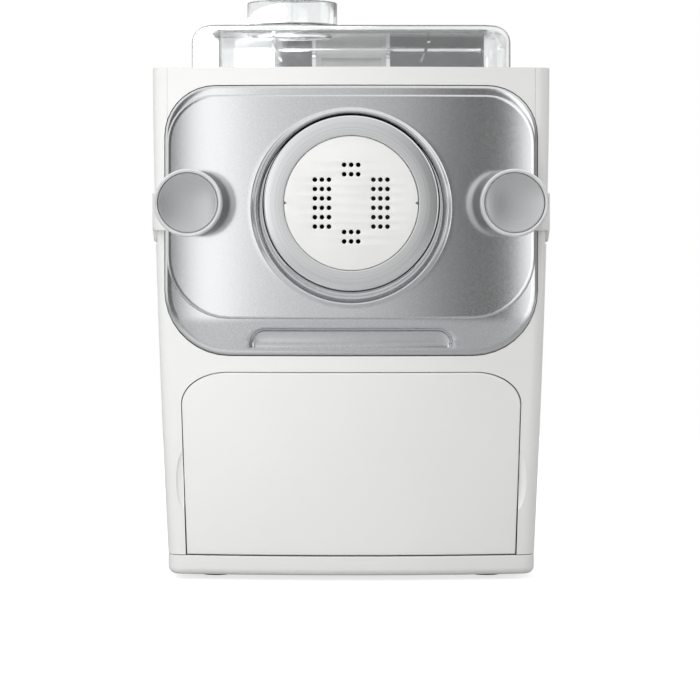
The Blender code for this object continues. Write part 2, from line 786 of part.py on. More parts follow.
def make_deck():
    """The top deck with its front apron, cut for the chamber and the control panel."""
    ring = body_ring(BODY_TOP, BODY_WALL + SEAT_GAP)
    deck = prism("top_deck", [ring], DECK_UNDER, DECK_THICKNESS, "Z", white())
    half_apron = SEAM_X - SEAM_GAP
    low = PANEL_TOP - PANEL_TOP_RADIUS + SEAM_GAP
    outline = [(-half_apron, low), (half_apron, low), (half_apron, BODY_TOP), (-half_apron, BODY_TOP)]
    apron = bowed_plate("apron", [outline], 0, BODY_WALL + 2 * SEAT_GAP, None)
    cut(apron, front_prism("apron_notch", panel_outline(SEAM_GAP)))
    join(deck, apron)
    half_hole = CHAMBER_TOP_WIDTH / 2 + CHAMBER_RIM + SEAT_GAP
    cut(deck, box("chamber_hole",
                  (-half_hole, CHAMBER_FRONT_Y - CHAMBER_RIM - SEAT_GAP, DECK_UNDER - OVERRUN),
                  (half_hole, CHAMBER_REAR_Y + CHAMBER_RIM + SEAT_GAP, BODY_TOP + OVERRUN), None))
    stem = BUTTON_STEM / 2 + SEAT_GAP
    for name, (x, y) in button_places().items():
        cut(deck, rod("hole_" + name, (x, y, DECK_UNDER), stem, 2 * OVERRUN, "Z", None))
    boss_length = DECK_UNDER - BOARD_TOP - SEAT_GAP
    for index, (x, y) in enumerate(board_corners()):
        join(deck, rod("boss_" + str(index), (x, y, DECK_UNDER - boss_length / 2 + SEAT_GAP),
                       BOSS_DIAMETER / 2, boss_length + 2 * SEAT_GAP, "Z", None, SMALL_STEPS // 2))
    return deck


def make_bulkhead():
    """The upright wall behind the front panel, which carries the extrusion tube."""
    front_y = PANEL_BACK_Y + FRONT_BOW * (HALF_PANEL / HALF_BODY) ** 2 + SEAT_GAP
    right = [(half_width(height) - BODY_WALL - SEAT_GAP, height)
             for height in level_heights(DRAWER_TOP + BULKHEAD_MARGIN, DECK_UNDER - SEAT_GAP, 2)]
    outline = right + [(-x, z) for x, z in reversed(right)]
    hole = arc(0, AXIS_Z, TUBE_RADIUS + SEAT_GAP, TUBE_RADIUS + SEAT_GAP, 0, 360, ROUND_STEPS)[:-1]
    return prism("bulkhead", [outline, hole], front_y, BULKHEAD_THICKNESS, "Y", grey_plastic())


def make_front_panel():
    """The silver frame with its chin, and the face plate seated on it."""
    hole_radius = RING_RADIUS + 2 * SEAT_GAP
    hole = arc(0, AXIS_Z, hole_radius, hole_radius, 0, 360, ROUND_STEPS)[:-1]
    frame = bowed_plate("panel_frame", [panel_outline(0), hole], PANEL_PROUD, PANEL_THICKNESS, silver())
    grip_low = PANEL_BOTTOM + GRIP_RISE
    grip = rounded_outline(GRIP_WIDTH / 2, grip_low, grip_low + GRIP_HEIGHT, 0, GRIP_RADIUS)
    cut(frame, prism("grip_recess", [grip], PANEL_FRONT_Y - OVERRUN, GRIP_DEPTH + OVERRUN, "Y", None))
    side = HALF_PANEL - FACE_MARGIN
    outline = rounded_outline(side, CREASE_Z, PANEL_TOP - FACE_TOP_MARGIN,
                              PANEL_BOTTOM_RADIUS - FACE_MARGIN, PANEL_TOP_RADIUS - FACE_MARGIN)
    face = bowed_plate("panel_face", [outline, hole], PANEL_PROUD + SEAT_GAP + FACE_THICKNESS,
                       FACE_THICKNESS, silver())
    rim = DISH_DIAMETER / 2
    for plate in (frame, face):
        profile = [(0, OVERRUN), (rim, OVERRUN), (rim, 0), (rim - DISH_SLOPE, -DISH_DEPTH),
                   (0, -DISH_DEPTH)]
        cut(plate, turned(plate.name + "_dish", profile, (0, FACE_FRONT_Y, AXIS_Z - DISH_DROP), "Y",
                          None))


def make_ring():
    """The locking ring: a lip over the disc's rim and a skirt round the tube's flange."""
    skirt = DISC_RADIUS + DISC_FLANGE + SEAT_GAP
    lip = DISC_RADIUS + SEAT_GAP
    profile = [(lip + RING_CHAMFER, 0), (RING_RADIUS - RING_CHAMFER, 0), (RING_RADIUS, -RING_CHAMFER),
               (RING_RADIUS, -RING_DEPTH), (skirt, -RING_DEPTH), (skirt, -RING_LIP),
               (lip, -RING_LIP), (lip, -RING_CHAMFER)]
    return turned("locking_ring", profile, (0, RING_FRONT_Y, AXIS_Z), "Y", silver(), closed=True)


def outlet_group(middle_x, middle_z, rows):
    """Centres of one block of outlets, all columns wide."""
    places = []
    for column in range(OUTLET_COLUMN_COUNT):
        across = middle_x + OUTLET_PITCH * (column - (OUTLET_COLUMN_COUNT - 1) / 2)
        for row in range(rows):
            places.append((across, middle_z + OUTLET_ROW_PITCH * (row - (rows - 1) / 2)))
    return places


def outlet_places():
    """Tall blocks of outlets left and right of the middle, low ones above and below it."""
    places = []
    for side in (-1, 1):
        places += outlet_group(side * SIDE_GROUP_REACH, 0, SIDE_ROW_COUNT)
        places += outlet_group(0, side * MIDDLE_GROUP_REACH, MIDDLE_ROW_COUNT)
    return places


def rods_cutter(name, centres, radius, length, steps):
    """Many like rods along Y in one guide."""
    work = bmesh.new()
    for x, z in centres:
        made = bmesh.ops.create_cone(work, cap_ends=True, segments=steps, radius1=radius,
                                     radius2=radius, depth=length)
        bmesh.ops.translate(work, verts=made["verts"], vec=(x, z, 0))
    guide = add_object(name, mesh_from(name, work), None)
    guide.rotation_euler = (math.radians(90), 0, 0)
    return guide


def make_disc():
    front = DISC_SETBACK
    flange = DISC_RADIUS + DISC_FLANGE
    lip_back = RING_LIP + SEAT_GAP
    back = lip_back + DISC_THICKNESS
    profile = [(0, -front), (DISC_RADIUS, -front), (DISC_RADIUS, -lip_back), (flange, -lip_back),
               (flange, -back), (0, -back)]
    disc = turned("shaping_disc", profile, (0, RING_FRONT_Y, AXIS_Z), "Y", white())
    length = 2 * (back + OVERRUN)
    guide = rods_cutter("outlets", outlet_places(), OUTLET_DIAMETER / 2, length, OUTLET_STEPS)
    guide.location = (0, RING_FRONT_Y, AXIS_Z)
    return cut(disc, guide)


def make_tube():
    bore = TUBE_BORE / 2
    flange = DISC_RADIUS + DISC_FLANGE
    rear = CHAMBER_FRONT_Y - SEAT_GAP - SEAL_THICKNESS - SEAT_GAP - TUBE_FRONT_Y
    profile = [(bore, 0), (flange, 0), (flange, -TUBE_FLANGE), (TUBE_RADIUS, -TUBE_FLANGE),
               (TUBE_RADIUS, -rear), (bore, -rear)]
    return turned("extrusion_tube", profile, (0, TUBE_FRONT_Y, AXIS_Z), "Y", grey_plastic(), closed=True)


def ring_solid(name, inner, outer, front_y, length, height, material, steps=ROUND_STEPS):
    profile = [(outer, 0), (outer, -length), (inner, -length), (inner, 0)]
    return turned(name, profile, (0, front_y, height), "Y", material, steps, closed=True)


def make_seals():
    ring_solid("tube_seal", TUBE_BORE / 2 + SEAT_GAP, TUBE_RADIUS,
               CHAMBER_FRONT_Y - SEAT_GAP - SEAL_THICKNESS, SEAL_THICKNESS, AXIS_Z, rubber())
    ring_solid("shaft_seal", SHAFT_BORE, SHAFT_SEAL_RADIUS, CHAMBER_REAR_Y - 2 * CHAMBER_WALL,
               SEAL_LENGTH, AXIS_Z, rubber(), SMALL_STEPS)


def trough_outline(grow, top):
    """The chamber's section: straight upper walls, sloping shoulders and a round trough."""
    half_top = CHAMBER_TOP_WIDTH / 2 + grow
    radius = CHAMBER_TROUGH_RADIUS + grow
    shoulder = AXIS_Z + (BODY_TOP - AXIS_Z) * SHOULDER_SHARE
    right = arc(0, AXIS_Z, radius, radius, -90, TROUGH_END_DEG, ROUND_STEPS // 4)
    right += [(half_top, shoulder), (half_top, top)]
    return right + [(-x, z) for x, z in reversed(right[1:])]


def make_chamber():
    shell = prism("mixing_chamber", [trough_outline(CHAMBER_WALL, BODY_TOP)], CHAMBER_FRONT_Y,
                  CHAMBER_LENGTH, "Y", clear())
    half = CHAMBER_TOP_WIDTH / 2 + CHAMBER_RIM
    join(shell, box("chamber_rim",
                    (-half, CHAMBER_FRONT_Y - CHAMBER_RIM, BODY_TOP - CHAMBER_RIM_THICKNESS),
                    (half, CHAMBER_REAR_Y + CHAMBER_RIM, BODY_TOP), None))
    cut(shell, prism("chamber_hollow", [trough_outline(0, BODY_TOP + OVERRUN)],
                     CHAMBER_FRONT_Y + CHAMBER_WALL, CHAMBER_LENGTH - 2 * CHAMBER_WALL, "Y", None))
    cut(shell, rod("tube_way", (0, CHAMBER_FRONT_Y, AXIS_Z), TUBE_BORE / 2, 2 * OVERRUN, "Y", None,
                   ROUND_STEPS))
    cut(shell, rod("shaft_way", (0, CHAMBER_REAR_Y, AXIS_Z), SHAFT_SEAL_RADIUS + SEAT_GAP,
                   2 * OVERRUN, "Y", None))
    return shell


def make_screw():
    """The extruder screw: one helical land round a core, lofted through turned sections."""
    length = SCREW_REAR_Y - SCREW_FRONT_Y
    stations = int(length / SCREW_PITCH * SCREW_STATIONS)
    core = SCREW_CORE / 2
    outer = TUBE_BORE / 2 - RUNNING_GAP
    land = int(SCREW_SIDES * SCREW_LAND / SCREW_PITCH + 1)
    rings = []
    for station in range(stations + 1):
        y = SCREW_FRONT_Y + length * station / stations
        twist = 2 * math.pi * (y - SCREW_FRONT_Y) / SCREW_PITCH
        ring = []
        for side in range(SCREW_SIDES):
            angle = -2 * math.pi * side / SCREW_SIDES + twist
            radius = outer if side <= land else core
            ring.append((radius * math.cos(angle), y, AXIS_Z + radius * math.sin(angle)))
        rings.append(ring)
    screw = loft("extruder_screw", rings, dark(), closed=True, floor=True, roof=True)
    work = bmesh.new()
    work.from_mesh(screw.data)
    bmesh.ops.recalc_face_normals(work, faces=work.faces)
    work.to_mesh(screw.data)
    work.free()
    return cut(screw, rod("screw_socket", (0, SCREW_REAR_Y, AXIS_Z), SHAFT_BORE,
                          2 * SCREW_SOCKET, "Y", None))


def make_paddle():
    """A hub on the shaft with cross arms and two scraper bars."""
    front = SCREW_REAR_Y + RUNNING_GAP
    length = PADDLE_REAR_Y - front
    paddle = rod("mixing_paddle", (0, front + length / 2, AXIS_Z), PADDLE_HUB / 2, length, "Y", steel())
    reach = CHAMBER_TROUGH_RADIUS - PADDLE_ROD - PADDLE_GAP
    first = front + PADDLE_ROD
    last = PADDLE_REAR_Y - PADDLE_ROD
    for name, y in (("front_arm", first), ("rear_arm", last)):
        join(paddle, rod(name, (0, y, AXIS_Z), PADDLE_ROD / 2, 2 * reach, "X", None, PIN_STEPS))
    for name, x in (("left_bar", -reach), ("right_bar", reach)):
        join(paddle, rod(name, (x, front + length / 2, AXIS_Z), PADDLE_ROD / 2, length, "Y", None, PIN_STEPS))
    cut(paddle, rod("paddle_bore", (0, front + length / 2, AXIS_Z), SHAFT_BORE, length + OVERRUN,
                    "Y", None))
    return paddle


def make_shaft():
    front = SCREW_REAR_Y - SCREW_SOCKET + RUNNING_GAP
    rear = CHASSIS_Y + CHASSIS_PLATE + SEAT_GAP
    return rod("drive_shaft", (0, (front + rear) / 2, AXIS_Z), SHAFT_DIAMETER / 2, rear - front, "Y",
               steel())


def gear_outline(teeth, height, start_deg):
    """A toothed outline in the front view, with a tooth centred on start_deg."""
    pitch_radius = GEAR_MODULE * teeth / 2
    tip = pitch_radius + GEAR_MODULE * ADDENDUM_SHARE
    root = pitch_radius - GEAR_MODULE * DEDENDUM_SHARE
    step = 2 * math.pi / teeth
    outline = []
    for tooth in range(teeth):
        middle = math.radians(start_deg) + step * tooth
        for radius, share in ((root, -TOOTH_ROOT_SHARE), (tip, -TOOTH_TIP_SHARE),
                              (tip, TOOTH_TIP_SHARE), (root, TOOTH_ROOT_SHARE)):
            angle = middle + step * share / 2
            outline.append((radius * math.cos(angle), height + radius * math.sin(angle)))
    return outline


def circle(radius, height, steps=SMALL_STEPS):
    return arc(0, height, radius, radius, 0, 360, steps)[:-1]


def make_gears():
    """Output gear, two-step idler and motor pinion, set in mesh at rest."""
    idler_bore = IDLER_PIN_DIAMETER / 2 + SEAT_GAP
    prism("output_gear", [gear_outline(OUTPUT_TEETH, AXIS_Z, -90), circle(SHAFT_BORE, AXIS_Z)],
          STAGE_TWO_Y, GEAR_WIDTH, "Y", grey_plastic())
    small = prism("idler_gear", [gear_outline(SMALL_TEETH, IDLER_Z, 90 + 180 / SMALL_TEETH),
                                 circle(idler_bore, IDLER_Z)], STAGE_TWO_Y, GEAR_WIDTH, "Y", steel())
    large = prism("idler_wheel", [gear_outline(LARGE_TEETH, IDLER_Z, -90),
                                  circle(idler_bore, IDLER_Z)], STAGE_ONE_Y, GEAR_WIDTH, "Y", None)
    hub_radius = GEAR_MODULE * (SMALL_TEETH / 2 - DEDENDUM_SHARE)
    hub = prism("idler_hub", [circle(hub_radius, IDLER_Z), circle(idler_bore, IDLER_Z)],
                STAGE_TWO_Y + GEAR_WIDTH - SEAT_GAP, GEAR_SPACE + 2 * SEAT_GAP, "Y", None)
    join(small, hub)
    join(small, large)
    prism("motor_pinion", [gear_outline(PINION_TEETH, MOTOR_Z, 90 + 180 / PINION_TEETH),
                           circle(MOTOR_SHAFT_BORE, MOTOR_Z)], STAGE_ONE_Y, GEAR_WIDTH, "Y", steel())


def gearbox_outline(grow):
    """A round-topped outline that clears the output gear and runs down past the motor pinion."""
    half = GEAR_MODULE * (OUTPUT_TEETH / 2 + ADDENDUM_SHARE) + BOX_MARGIN + grow
    low = MOTOR_Z - GEAR_MODULE * (PINION_TEETH / 2 + ADDENDUM_SHARE) - BOX_MARGIN - grow
    return rounded_outline(half, low, AXIS_Z + half, BOX_MARGIN + grow, half)


def make_gearbox():
    idler_hole = circle(IDLER_PIN_DIAMETER / 2 + SEAT_GAP, IDLER_Z)
    bush_hole = circle(SHAFT_BORE + BUSH_WALL + SEAT_GAP, AXIS_Z)
    motor_hole = circle(MOTOR_SHAFT_BORE + RUNNING_GAP, MOTOR_Z)
    prism("gearbox_plate", [gearbox_outline(BOX_WALL), idler_hole, bush_hole], BOX_FRONT_Y, BOX_PLATE,
          "Y", grey_plastic())
    cover_front = BOX_FRONT_Y + BOX_PLATE + SEAT_GAP
    cover = prism("gearbox_cover", [gearbox_outline(BOX_WALL), idler_hole, bush_hole, motor_hole],
                  cover_front, BOX_REAR_Y - cover_front, "Y", grey_plastic())
    cut(cover, prism("gearbox_hollow", [gearbox_outline(0)], cover_front - OVERRUN,
                     BOX_REAR_Y - BOX_WALL - cover_front + OVERRUN, "Y", None))
    pin_front = BOX_FRONT_Y + SEAT_GAP
    pin_rear = BOX_REAR_Y - SEAT_GAP
    rod("idler_pin", (0, (pin_front + pin_rear) / 2, IDLER_Z), IDLER_PIN_DIAMETER / 2,
        pin_rear - pin_front, "Y", steel())


def make_bushes():
    inner = SHAFT_BORE
    outer = SHAFT_BORE + BUSH_WALL
    flange = outer + BUSH_FLANGE
    front = BOX_FRONT_Y - SEAT_GAP - BUSH_FLANGE
    profile = [(flange, 0), (flange, -BUSH_FLANGE), (outer, -BUSH_FLANGE),
               (outer, -BUSH_FLANGE - SEAT_GAP - BOX_PLATE), (inner, -BUSH_FLANGE - SEAT_GAP - BOX_PLATE),
               (inner, 0)]
    turned("front_bush", profile, (0, front, AXIS_Z), "Y", brass(), SMALL_STEPS, closed=True)
    rear_front = BOX_REAR_Y - BOX_WALL
    ring_solid("rear_bush", inner, outer, rear_front, BOX_WALL + CHASSIS_PLATE + SEAT_GAP, AXIS_Z,
               brass(), SMALL_STEPS)


def make_chassis():
    """An upright plate that carries the gearbox and the motor, with a foot on the base."""
    half = GEAR_MODULE * (OUTPUT_TEETH / 2 + ADDENDUM_SHARE) + BOX_MARGIN + BOX_WALL
    low = FLOOR_TOP + SEAT_GAP
    outline = rounded_outline(half, low, AXIS_Z + half / 2, 0, BOX_MARGIN)
    holes = [circle(SHAFT_BORE + BUSH_WALL + SEAT_GAP, AXIS_Z),
             circle(MOTOR_SHAFT_BORE + RUNNING_GAP, MOTOR_Z)]
    chassis = prism("chassis", [outline] + holes, CHASSIS_Y, CHASSIS_PLATE, "Y", steel())
    join(chassis, box("chassis_foot", (-half, CHASSIS_Y, low),
                      (half, CHASSIS_Y + CHASSIS_FOOT, low + CHASSIS_PLATE), None))
    return chassis


def make_motor():
    radius = MOTOR_DIAMETER / 2
    inner = radius - MOTOR_WALL
    hole = MOTOR_SHAFT_BORE
    profile = [(radius, 0), (radius, -MOTOR_LENGTH), (inner, -MOTOR_LENGTH), (inner, -MOTOR_WALL),
               (hole, -MOTOR_WALL), (hole, 0)]
    turned("motor_case", profile, (0, MOTOR_FRONT_Y, MOTOR_Z), "Y", steel(), 2 * SMALL_STEPS, closed=True)
    ring_solid("motor_end_cap", hole, radius, MOTOR_REAR_Y + SEAT_GAP, MOTOR_WALL, MOTOR_Z, dark(),
               2 * SMALL_STEPS)
    middle = (MOTOR_FRONT_Y + MOTOR_REAR_Y) / 2
    stator_inner = inner - SEAT_GAP - STATOR_WALL
    ring_solid("motor_stator", stator_inner, inner - SEAT_GAP, middle - ROTOR_LENGTH / 2, ROTOR_LENGTH,
               MOTOR_Z, brass(), 2 * SMALL_STEPS)
    shaft = MOTOR_SHAFT_DIAMETER / 2
    core = ROTOR_DIAMETER / 2
    first = middle - ROTOR_LENGTH / 2 - STAGE_ONE_Y
    last = first + ROTOR_LENGTH
    end = MOTOR_REAR_Y + FAN_GAP + FAN_DEPTH - STAGE_ONE_Y
    profile = [(0, 0), (shaft, 0), (shaft, -first), (core, -first), (core, -last), (shaft, -last),
               (shaft, -end), (0, -end)]
    turned("motor_rotor", profile, (0, STAGE_ONE_Y, MOTOR_Z), "Y", steel(), SMALL_STEPS)


def make_fan():
    hub = MOTOR_SHAFT_BORE + FAN_HUB_WALL
    tip = FAN_DIAMETER / 2
    outline = []
    step = 2 * math.pi / FAN_BLADES
    for blade in range(FAN_BLADES):
        for radius, share in ((hub, 0), (tip, FAN_BLADE_SHARE), (tip, 2 * FAN_BLADE_SHARE),
                              (hub, 2 * FAN_BLADE_SHARE)):
            angle = step * (blade + share)
            outline.append((radius * math.cos(angle), MOTOR_Z + radius * math.sin(angle)))
    return prism("cooling_fan", [outline, circle(MOTOR_SHAFT_BORE, MOTOR_Z)],
                 MOTOR_REAR_Y + FAN_GAP, FAN_DEPTH, "Y", dark())


def arm_path(reach, tip_x):
    """Plan points of the arm's surface, reach outside its rest line, from the tip to the pivot."""
    centre_x, centre_y, _ = front_corner(ARM_BOTTOM_Z)
    radius_x = ARM_REST_X - centre_x + reach
    radius_y = centre_y - ARM_FRONT_Y + reach
    points = [(tip_x, ARM_FRONT_Y - reach)]
    points += arc(centre_x, centre_y, radius_x, radius_y, -90, 0, 2 * CORNER_POINTS)
    points.append((ARM_REST_X + reach, ARM_PIVOT_Y + ARM_BARREL_RADIUS))
    return points


def make_arm():
    """A bent strap round the body's corner, with a stud for its knob and a barrel for its pin."""
    tip_x = KNOB_X - ARM_TIP
    outline = arm_path(ARM_THICKNESS, tip_x) + list(reversed(arm_path(0, tip_x)))
    arm = prism("lock_arm_right", [outline], ARM_BOTTOM_Z, ARM_HEIGHT, "Z", silver_rim())
    low_tip = AXIS_Z - ARM_TIP_HEIGHT / 2
    centre_x = front_corner(ARM_BOTTOM_Z)[0]
    far_x = ARM_OUTER_X + OVERRUN
    low_bend = (low_tip + ARM_BOTTOM_Z) / 2
    mask = [(tip_x - OVERRUN, low_tip), (KNOB_X, low_tip), (centre_x, low_bend),
            (ARM_REST_X, low_bend), (ARM_REST_X, ARM_BOTTOM_Z - OVERRUN),
            (far_x, ARM_BOTTOM_Z - OVERRUN),
            (far_x, ARM_TOP_Z + OVERRUN), (tip_x - OVERRUN, ARM_TOP_Z + OVERRUN)]
    combine(arm, prism("arm_mask_right", [mask], FRONT_Y - 2 * OVERRUN, ARM_LENGTH + 4 * OVERRUN, "Y",
                       None), "INTERSECT")
    boss_length = ARM_BOSS_RISE + ARM_THICKNESS / 2
    join(arm, rod("arm_boss_right", (KNOB_X, ARM_FRONT_Y - ARM_THICKNESS - ARM_BOSS_RISE
                                       + boss_length / 2, AXIS_Z), KNOB_NECK_DIAMETER / 2, boss_length,
                  "Y", None, 2 * SMALL_STEPS))
    low = ARM_BOTTOM_Z
    web_half = ARM_THICKNESS / 2
    join(arm, box("arm_web_right", (ARM_PIVOT_X, ARM_PIVOT_Y - web_half, low),
                  (ARM_REST_X + web_half, ARM_PIVOT_Y + web_half, ARM_TOP_Z), None))
    middle = (ARM_BOTTOM_Z + ARM_TOP_Z) / 2
    join(arm, rod("arm_barrel_right", (ARM_PIVOT_X, ARM_PIVOT_Y, middle), ARM_BARREL_RADIUS,
                  ARM_HEIGHT, "Z", None))
    cut(arm, rod("arm_pin_way_right", (ARM_PIVOT_X, ARM_PIVOT_Y, middle),
                 ARM_PIN_DIAMETER / 2 + SEAT_GAP, ARM_HEIGHT + OVERRUN, "Z", None, PIN_STEPS))
    stud_front = KNOB_FRONT_Y + KNOB_STUD_SETBACK + SEAT_GAP
    stud_rear = ARM_FRONT_Y - web_half
    join(arm, rod("knob_stud_right", (KNOB_X, (stud_front + stud_rear) / 2, AXIS_Z),
                  KNOB_STUD_DIAMETER / 2, stud_rear - stud_front, "Y", None))
    return arm


def make_arm_block():
    """The hinge block inside the side wall, with a lug above and below the arm's barrel."""
    low = ARM_BOTTOM_Z - ARM_CLEARANCE - ARM_LUG
    high = ARM_TOP_Z + ARM_CLEARANCE + ARM_LUG
    sweep = ARM_OUTER_X - ARM_PIVOT_X + 2 * ARM_CLEARANCE
    wall_x = half_width(low) - BODY_WALL - SEAT_GAP
    back_x = ARM_PIVOT_X - sweep - ARM_BLOCK_SPINE
    block = box("arm_block_right", (back_x, ARM_PIVOT_Y - sweep, low),
                (wall_x, ARM_PIVOT_Y + sweep, high), grey_plastic())
    middle = (low + high) / 2
    cut(block, box("block_notch_right",
                   (ARM_PIVOT_X - sweep, ARM_PIVOT_Y - sweep - OVERRUN, ARM_BOTTOM_Z - ARM_CLEARANCE),
                   (wall_x + OVERRUN, ARM_PIVOT_Y + sweep + OVERRUN, ARM_TOP_Z + ARM_CLEARANCE), None))
    cut(block, rod("block_bore_right", (ARM_PIVOT_X, ARM_PIVOT_Y, middle),
                   ARM_PIN_DIAMETER / 2 + SEAT_GAP, high - low + OVERRUN, "Z", None, PIN_STEPS))
    pin = rod("arm_pin_right", (ARM_PIVOT_X, ARM_PIVOT_Y, middle), ARM_PIN_DIAMETER / 2, high - low,
              "Z", steel(), PIN_STEPS)
    return block, pin


def make_knob():
    """A turned knob with a pale rim and a dished grey cap, bored for the arm's stud."""
    neck = KNOB_NECK_DIAMETER / 2
    stud_bore = KNOB_STUD_DIAMETER / 2 + SEAT_GAP
    total = ARM_FRONT_Y - ARM_THICKNESS - ARM_BOSS_RISE - SEAT_GAP - KNOB_FRONT_Y
    pocket = KNOB_CAP_THICKNESS + SEAT_GAP
    inner = KNOB_RADIUS - KNOB_RIM
    edge = KNOB_RIM / 2
    profile = [(inner + edge / 2, 0), (KNOB_RADIUS - edge, 0), (KNOB_RADIUS, -edge),
               (KNOB_RADIUS, -KNOB_HEAD + edge), (KNOB_RADIUS - edge, -KNOB_HEAD),
               (neck + edge, -KNOB_HEAD), (neck, -KNOB_HEAD - edge), (neck, -total),
               (stud_bore, -total), (stud_bore, -KNOB_STUD_SETBACK), (0, -KNOB_STUD_SETBACK), (0, -pocket),
               (inner, -pocket), (inner, -edge)]
    knob = turned("knob_right", profile, (KNOB_X, KNOB_FRONT_Y, AXIS_Z), "Y", silver_rim(), closed=True)
    face = inner - SEAT_GAP
    cap_profile = [(0, -edge - KNOB_DISH), (face * KNOB_DISH_SHARE, -edge - KNOB_DISH * KNOB_DISH_SHARE),
                   (face, -edge), (face, -KNOB_CAP_THICKNESS), (0, -KNOB_CAP_THICKNESS)]
    cap = turned("knob_cap_right", cap_profile, (KNOB_X, KNOB_FRONT_Y, AXIS_Z), "Y", knob_grey())
    return knob, cap


def opposite(piece):
    """The left-hand copy of a right-hand piece: its finished mesh mirrored across the middle."""
    bpy.context.view_layer.update()
    graph = bpy.context.evaluated_depsgraph_get()
    data = bpy.data.meshes.new_from_object(piece.evaluated_get(graph))
    for vertex in data.vertices:
        vertex.co.x = -vertex.co.x
    data.flip_normals()
    name = piece.name.replace("right", "left")
    data.name = name
    copied = add_object(name, data, None, (-piece.location.x, piece.location.y, piece.location.z))
    copied.rotation_euler = piece.rotation_euler
    return copied


def lid_ring(inset, height):
    half = LID_WIDTH / 2 - inset
    radius = LID_CORNER - inset
    front = LID_FRONT_Y + inset
    rear = LID_REAR_Y - inset
    points = arc(half - radius, front + radius, radius, radius, -90, 0)
    points += arc(half - radius, rear - radius, radius, radius, 0, 90)
    ring = points + [(-x, y) for x, y in reversed(points)]
    return [(x, y, height) for x, y in ring]


def make_lid():
    """The clear lid: a rounded cover with an inlet hole and two hinge ears at its rear."""
    rings = [lid_ring(0, LID_UNDER)]
    for step in range(CORNER_POINTS + 1):
        angle = math.radians(90 * step / CORNER_POINTS)
        inset = LID_EDGE_RADIUS * (1 - math.cos(angle))
        rings.append(lid_ring(inset, LID_TOP - LID_EDGE_RADIUS * (1 - math.sin(angle))))
    lid = thicken(loft("lid", rings, clear(), closed=True, roof=True), LID_WALL)
    ear_front = LID_REAR_Y - LID_WALL / 2
    radius = BRACKET_DEPTH / 2
    outline = arc(BRACKET_Y, HINGE_Z, radius, radius, 90, -90, 2 * CORNER_POINTS)
    outline += [(ear_front, HINGE_Z - radius), (ear_front, LID_TOP - LID_EDGE_RADIUS / 2)]
    inner_x = BRACKET_WIDTH / 2 + SEAT_GAP
    for name, start in (("right_ear", inner_x), ("left_ear", -inner_x - LID_EAR)):
        join(lid, prism(name, [outline], start, LID_EAR, "X", None))
    cut(lid, rod("lid_pin_way", (0, BRACKET_Y, HINGE_Z), HINGE_PIN_DIAMETER / 2 + SEAT_GAP,
                 BRACKET_WIDTH + 4 * LID_EAR, "X", None))
    cut(lid, rod("inlet_hole", (-INLET_OFFSET, INLET_Y, LID_TOP), INLET_DIAMETER / 2 - INLET_LEDGE,
                 LID_HEIGHT / 2, "Z", None, ROUND_STEPS))
    return lid


def make_inlet():
    """A clear round cup without a floor, seated on the lid with a skirt through its hole."""
    outer = INLET_DIAMETER / 2
    skirt = outer - INLET_LEDGE - SEAT_GAP
    inner = skirt - INLET_WALL
    foot = LID_WALL + INLET_WALL
    profile = [(outer, INLET_RISE), (outer, SEAT_GAP), (skirt, SEAT_GAP), (skirt, -foot),
               (inner, -foot), (inner, SEAT_GAP + INLET_WALL),
               (outer - INLET_WALL, SEAT_GAP + INLET_WALL), (outer - INLET_WALL, INLET_RISE)]
    return turned("water_inlet", profile, (-INLET_OFFSET, INLET_Y, LID_TOP), "Z", clear(), closed=True)


def make_hinge():
    """The white bracket behind the lid, with a recessed middle, and its pin."""
    radius = BRACKET_DEPTH / 2
    foot = BODY_TOP + SEAT_GAP
    outline = arc(BRACKET_Y, HINGE_Z, radius, radius, 0, 180, 2 * CORNER_POINTS)
    outline += [(BRACKET_Y - radius, foot), (BRACKET_Y + radius, foot)]
    bracket = prism("hinge_bracket", [outline], -BRACKET_WIDTH / 2, BRACKET_WIDTH, "X", white())
    half = BRACKET_WIDTH / 2 - BRACKET_EAR
    cut(bracket, box("bracket_recess", (-half, BRACKET_Y - radius - OVERRUN, foot - OVERRUN),
                     (half, BRACKET_Y - radius / 2, HINGE_Z - radius), None))
    cut(bracket, rod("bracket_pin_way", (0, BRACKET_Y, HINGE_Z), HINGE_PIN_DIAMETER / 2 + SEAT_GAP,
                     BRACKET_WIDTH + OVERRUN, "X", None))
    length = BRACKET_WIDTH + 2 * (SEAT_GAP + LID_EAR)
    rod("hinge_pin", (0, BRACKET_Y, HINGE_Z), HINGE_PIN_DIAMETER / 2, length, "X", steel())


def button_places():
    """Plan centres of the buttons: power at the left, start at the right, two more between them."""
    row_y = CONTROL_Y - BUTTON_ROW_OFFSET
    places = {"power_button": (-START_OFFSET, CONTROL_Y), "start_button": (START_OFFSET, CONTROL_Y)}
    for name, side in (("mode_button", -1), ("amount_button", 1)):
        places[name] = (side * BUTTON_PITCH / 2, row_y)
    return places


def button_radius(name):
    big = name in ("start_button", "power_button")
    return (START_DIAMETER if big else BUTTON_DIAMETER) / 2


def board_corners():
    half_x = CONTROL_WIDTH / 2 - BOARD_MARGIN
    half_y = CONTROL_LENGTH / 2 - BOARD_MARGIN
    return [(x, CONTROL_Y + y) for x in (-half_x, half_x) for y in (-half_y, half_y)]


